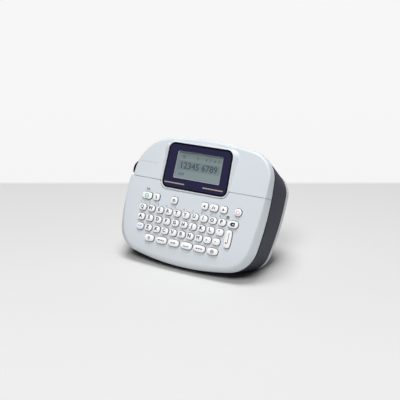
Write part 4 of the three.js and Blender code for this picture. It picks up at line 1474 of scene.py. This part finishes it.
def print_unit():
    """Rubber platen on its steel shaft, over the print head with its fine ceramic line."""
    def on_axis(profile):
        return turned(profile, ROLLER_X, ROLLER["y"], ROLLER_STEPS)

    front, back = BAY_FRONT, BAY_FRONT - ROLLER["length"]
    radius, shaft, core = ROLLER["radius"], ROLLER["shaft"], ROLLER["shaft"] + ROLLER_CORE
    tail, nose = back - ROLLER["tail"], front + WALL + FIT_GAP
    axle = on_axis([
        (shaft - 0.3, tail), (shaft, tail + 0.3), (shaft, back + 0.2), (core, back + 0.2),
        (core, front - 0.2), (shaft, front - 0.2), (shaft, nose - 0.3), (shaft - 0.3, nose),
    ])
    rubber = on_axis([
        (radius - 0.5, back), (radius - 0.15, back + 0.15), (radius, back + 0.5),
        (radius, front - 0.5), (radius - 0.15, front - 0.15), (radius - 0.5, front),
    ])
    bore = on_axis([(core + 0.02, back - 1), (core + 0.02, front + 1)])
    roller = gathered([with_material(axle, 0), with_material(cut(rubber, bore), 1)], "roller")
    finished(roller, "platen", "platen_roller", SHAFT_STEEL, ROLLER_RUBBER,
             slot="roller_rubber", replaces=["platen_roller"])
    top = ROLLER["y"] - ROLLER["radius"] - 1.5 * FIT_GAP
    half, low = HEAD_SIZE["width"] / 2, front - HEAD_SIZE["height"]
    bar = block((ROLLER_X - half, ROLLER_X + half), (top - HEAD_SIZE["thickness"], top),
                (low, front))
    line = block((ROLLER_X - HEAD_LINE["half"], ROLLER_X + HEAD_LINE["half"]),
                 (top + TOUCH_GAP, top + HEAD_LINE["height"]),
                 (low + HEAD_LINE["short"], front - HEAD_LINE["short"]))
    head = gathered([
        with_material(soften(bar, 0.25), 0), with_material(soften(line, 0.06), 1)], "head")
    finished(head, "heating_line", "housing", HEAD, GLAZE,
             slot="head_metal", replaces=["print_head"])


def catch_ribs():
    """Grip ribs on the floor of the cover's thumb recess."""
    count, pitch = CATCH_RIBS["count"], CATCH_RIBS["pitch"]
    ribs = grown_from(rib_row(COVER), "ribs", Count=count, Pitch=pitch,
                      Length=CATCH["width"] - CATCH_RIBS["short"], Radius=CATCH_RIBS["radius"])
    shifted(ribs, 0, CATCH["y"] - (count - 1) / 2 * pitch,
            -COVER_BACK + CATCH["depth"] - CATCH_RIBS["sunk"])
    finished(ribs, "catch_ribs", "back_cover", COVER, slot="cover_plastic")


# ---------------------------------------------------------------- building the pieces

finished(front_shell(KEYS), "front_shell_skin", "housing", SHELL,
         slot="shell_plastic", replaces=["front_shell"])
for key in KEYS:
    dressed_key(key)
face_print()
display_pieces()
finished(dark_case(), "dark_case", "housing", CASE, slot="case_plastic", replaces=["mid_case"])
finished(back_cover(), "back_cover_skin", "back_cover", COVER,
         slot="cover_plastic", replaces=["back_cover"])
catch_ribs()
tape_cassette()
cells()
print_unit()
finished(cutter_lever(), "cutter_paddle", "cutter_lever", LEVER_BLACK,
         slot="lever_plastic", replaces=["cutter_lever"])

CARRIED_OVER = {"lcd_panel": LCD_FILM, "key_mat": MAT_RUBBER, "main_board": BOARD}
for node, material in CARRIED_OVER.items():
    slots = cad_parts[node].data.materials
    slots.clear()
    slots.append(material)

# ---------------------------------------------------------------- floor, light and camera

VIEW = {"azimuth": radians(30), "elevation": radians(19.123), "distance": 0.785}
AIM = Vector((-0.0026, -0.00125, 0.05766))
LENS = 74.68
SENSOR = 36.0
# sizes here are in metres
TABLE_END = 0.229               # from the object to the far edge of the table top
TABLE_EDGE = (-0.003, 0.006)    # softness of that edge on either side
TABLE_NEAR = -0.2
# painted light: the table lighter near the camera and darker toward its far edge
TABLE_GREY = (0.64, 0.575)      # from near to far
BACKDROP_FAR = 1.0
# painted light: the backdrop a little brighter higher up
BACKDROP_WHITE = (0.915, 0.93)  # from its foot up
BARE_FROM, BARE_TO = 0.45, 1.1  # where the table fades into the backdrop, all round
FLOOR_HALF = 6.0
SKY_SEEN, SKY_LIGHT = 0.93, 0.03    # the world to the camera, and as a light


def table_and_backdrop():
    """Table top that ends in a soft line before a white backdrop. The white is seen by the
    camera and in reflections, and adds no light. Painted light: the table's grey fades from
    near to far, and the backdrop grows brighter from its foot up."""
    def combined_values(a, b, operation):
        return add(tree, "ShaderNodeMath", {0: a, 1: b}, operation=operation).outputs["Value"]

    material, tree = new_material("white_table")
    place = add(tree, "ShaderNodeTexCoord").outputs["Object"]
    aligned = add(tree, "ShaderNodeMapping", {
        "Vector": place, "Rotation": (0, 0, -VIEW["azimuth"])}).outputs["Vector"]
    away = add(tree, "ShaderNodeSeparateXYZ", {"Vector": aligned}).outputs["Y"]
    beyond = ramped(tree, away, TABLE_END + TABLE_EDGE[0], TABLE_END + TABLE_EDGE[1])
    # painted light: the table's grey, lighter near the camera than at its far edge
    top = ramped(tree, away, TABLE_NEAR, TABLE_END, *TABLE_GREY)
    surface = add(tree, "ShaderNodeBsdfDiffuse", {"Color": top, "Roughness": 0.4})
    # painted light: the backdrop's white grows brighter away from the table
    rise = ramped(tree, away, TABLE_END, BACKDROP_FAR, *BACKDROP_WHITE)
    white = add(tree, "ShaderNodeEmission", {"Color": WHITE, "Strength": rise})
    path = add(tree, "ShaderNodeLightPath").outputs
    seen = combined_values(path["Is Camera Ray"], path["Is Glossy Ray"], "MAXIMUM")
    distance = add(tree, "ShaderNodeVectorMath", {0: place}, operation="LENGTH").outputs["Value"]
    around = ramped(tree, distance, BARE_FROM, BARE_TO, interpolation_type="SMOOTHSTEP")
    bare = combined_values(beyond, around, "MAXIMUM")
    mixed = add(tree, "ShaderNodeMixShader", {
        0: combined_values(seen, bare, "MULTIPLY"), 1: surface.outputs["BSDF"],
        2: white.outputs["Emission"]})
    add(tree, "ShaderNodeOutputMaterial", {"Surface": mixed.outputs["Shader"]})
    corners = ((-1, -1), (1, -1), (1, 1), (-1, 1))
    floor = mesh_object(
        "floor", [(x * FLOOR_HALF, y * FLOOR_HALF, 0) for x, y in corners], [(0, 1, 2, 3)])
    floor.data.materials.append(material)


def aimed(made, place, direction):
    """Puts a light or the camera at a place, looking in a direction."""
    made.location = place
    made.rotation_euler = direction.to_track_quat("-Z", "Y").to_euler()
    return linked(made)


def soft_light(name, place, size, power, aim=(0, 0, 0.05)):
    """Round light of a size in metres and a power in watts."""
    lamp = bpy.data.lights.new(name, "AREA")
    lamp.shape = "DISK"
    lamp.size = size
    lamp.energy = power
    aimed(bpy.data.objects.new(name, lamp), place, Vector(aim) - Vector(place))


def studio():
    """Dim white world and three soft lights: overhead, in front and behind."""
    world = bpy.data.worlds.new("studio")
    bpy.context.scene.world = world
    world.use_nodes = True
    tree = world.node_tree
    tree.nodes.clear()
    path = add(tree, "ShaderNodeLightPath")
    strength = ramped(tree, path.outputs["Is Camera Ray"], 0.0, 1.0, SKY_LIGHT, SKY_SEEN)
    sky = add(tree, "ShaderNodeBackground", {"Color": WHITE, "Strength": strength})
    add(tree, "ShaderNodeOutputWorld", {"Surface": sky.outputs["Background"]})
    soft_light("overhead_light", (0, 0, 2.05), 1.05, 39.8)
    soft_light("front_light", (0.4, -1.23, 1.58), 0.9, 20.6)
    soft_light("back_light", (0, 1.7, 0.85), 1.4, 2.5)


def camera():
    """Camera in front and to the right, a little above the object."""
    elevation, azimuth = VIEW["elevation"], VIEW["azimuth"]
    offset = Vector((
        sin(azimuth) * cos(elevation), -cos(azimuth) * cos(elevation), sin(elevation)))
    lens = bpy.data.cameras.new("camera")
    lens.lens = LENS
    lens.sensor_width = SENSOR
    seen_from = bpy.data.objects.new("camera", lens)
    bpy.context.scene.camera = aimed(seen_from, AIM + offset * VIEW["distance"], -offset)


table_and_backdrop()
studio()
camera()
bpy.context.scene.view_settings.view_transform = "Standard"
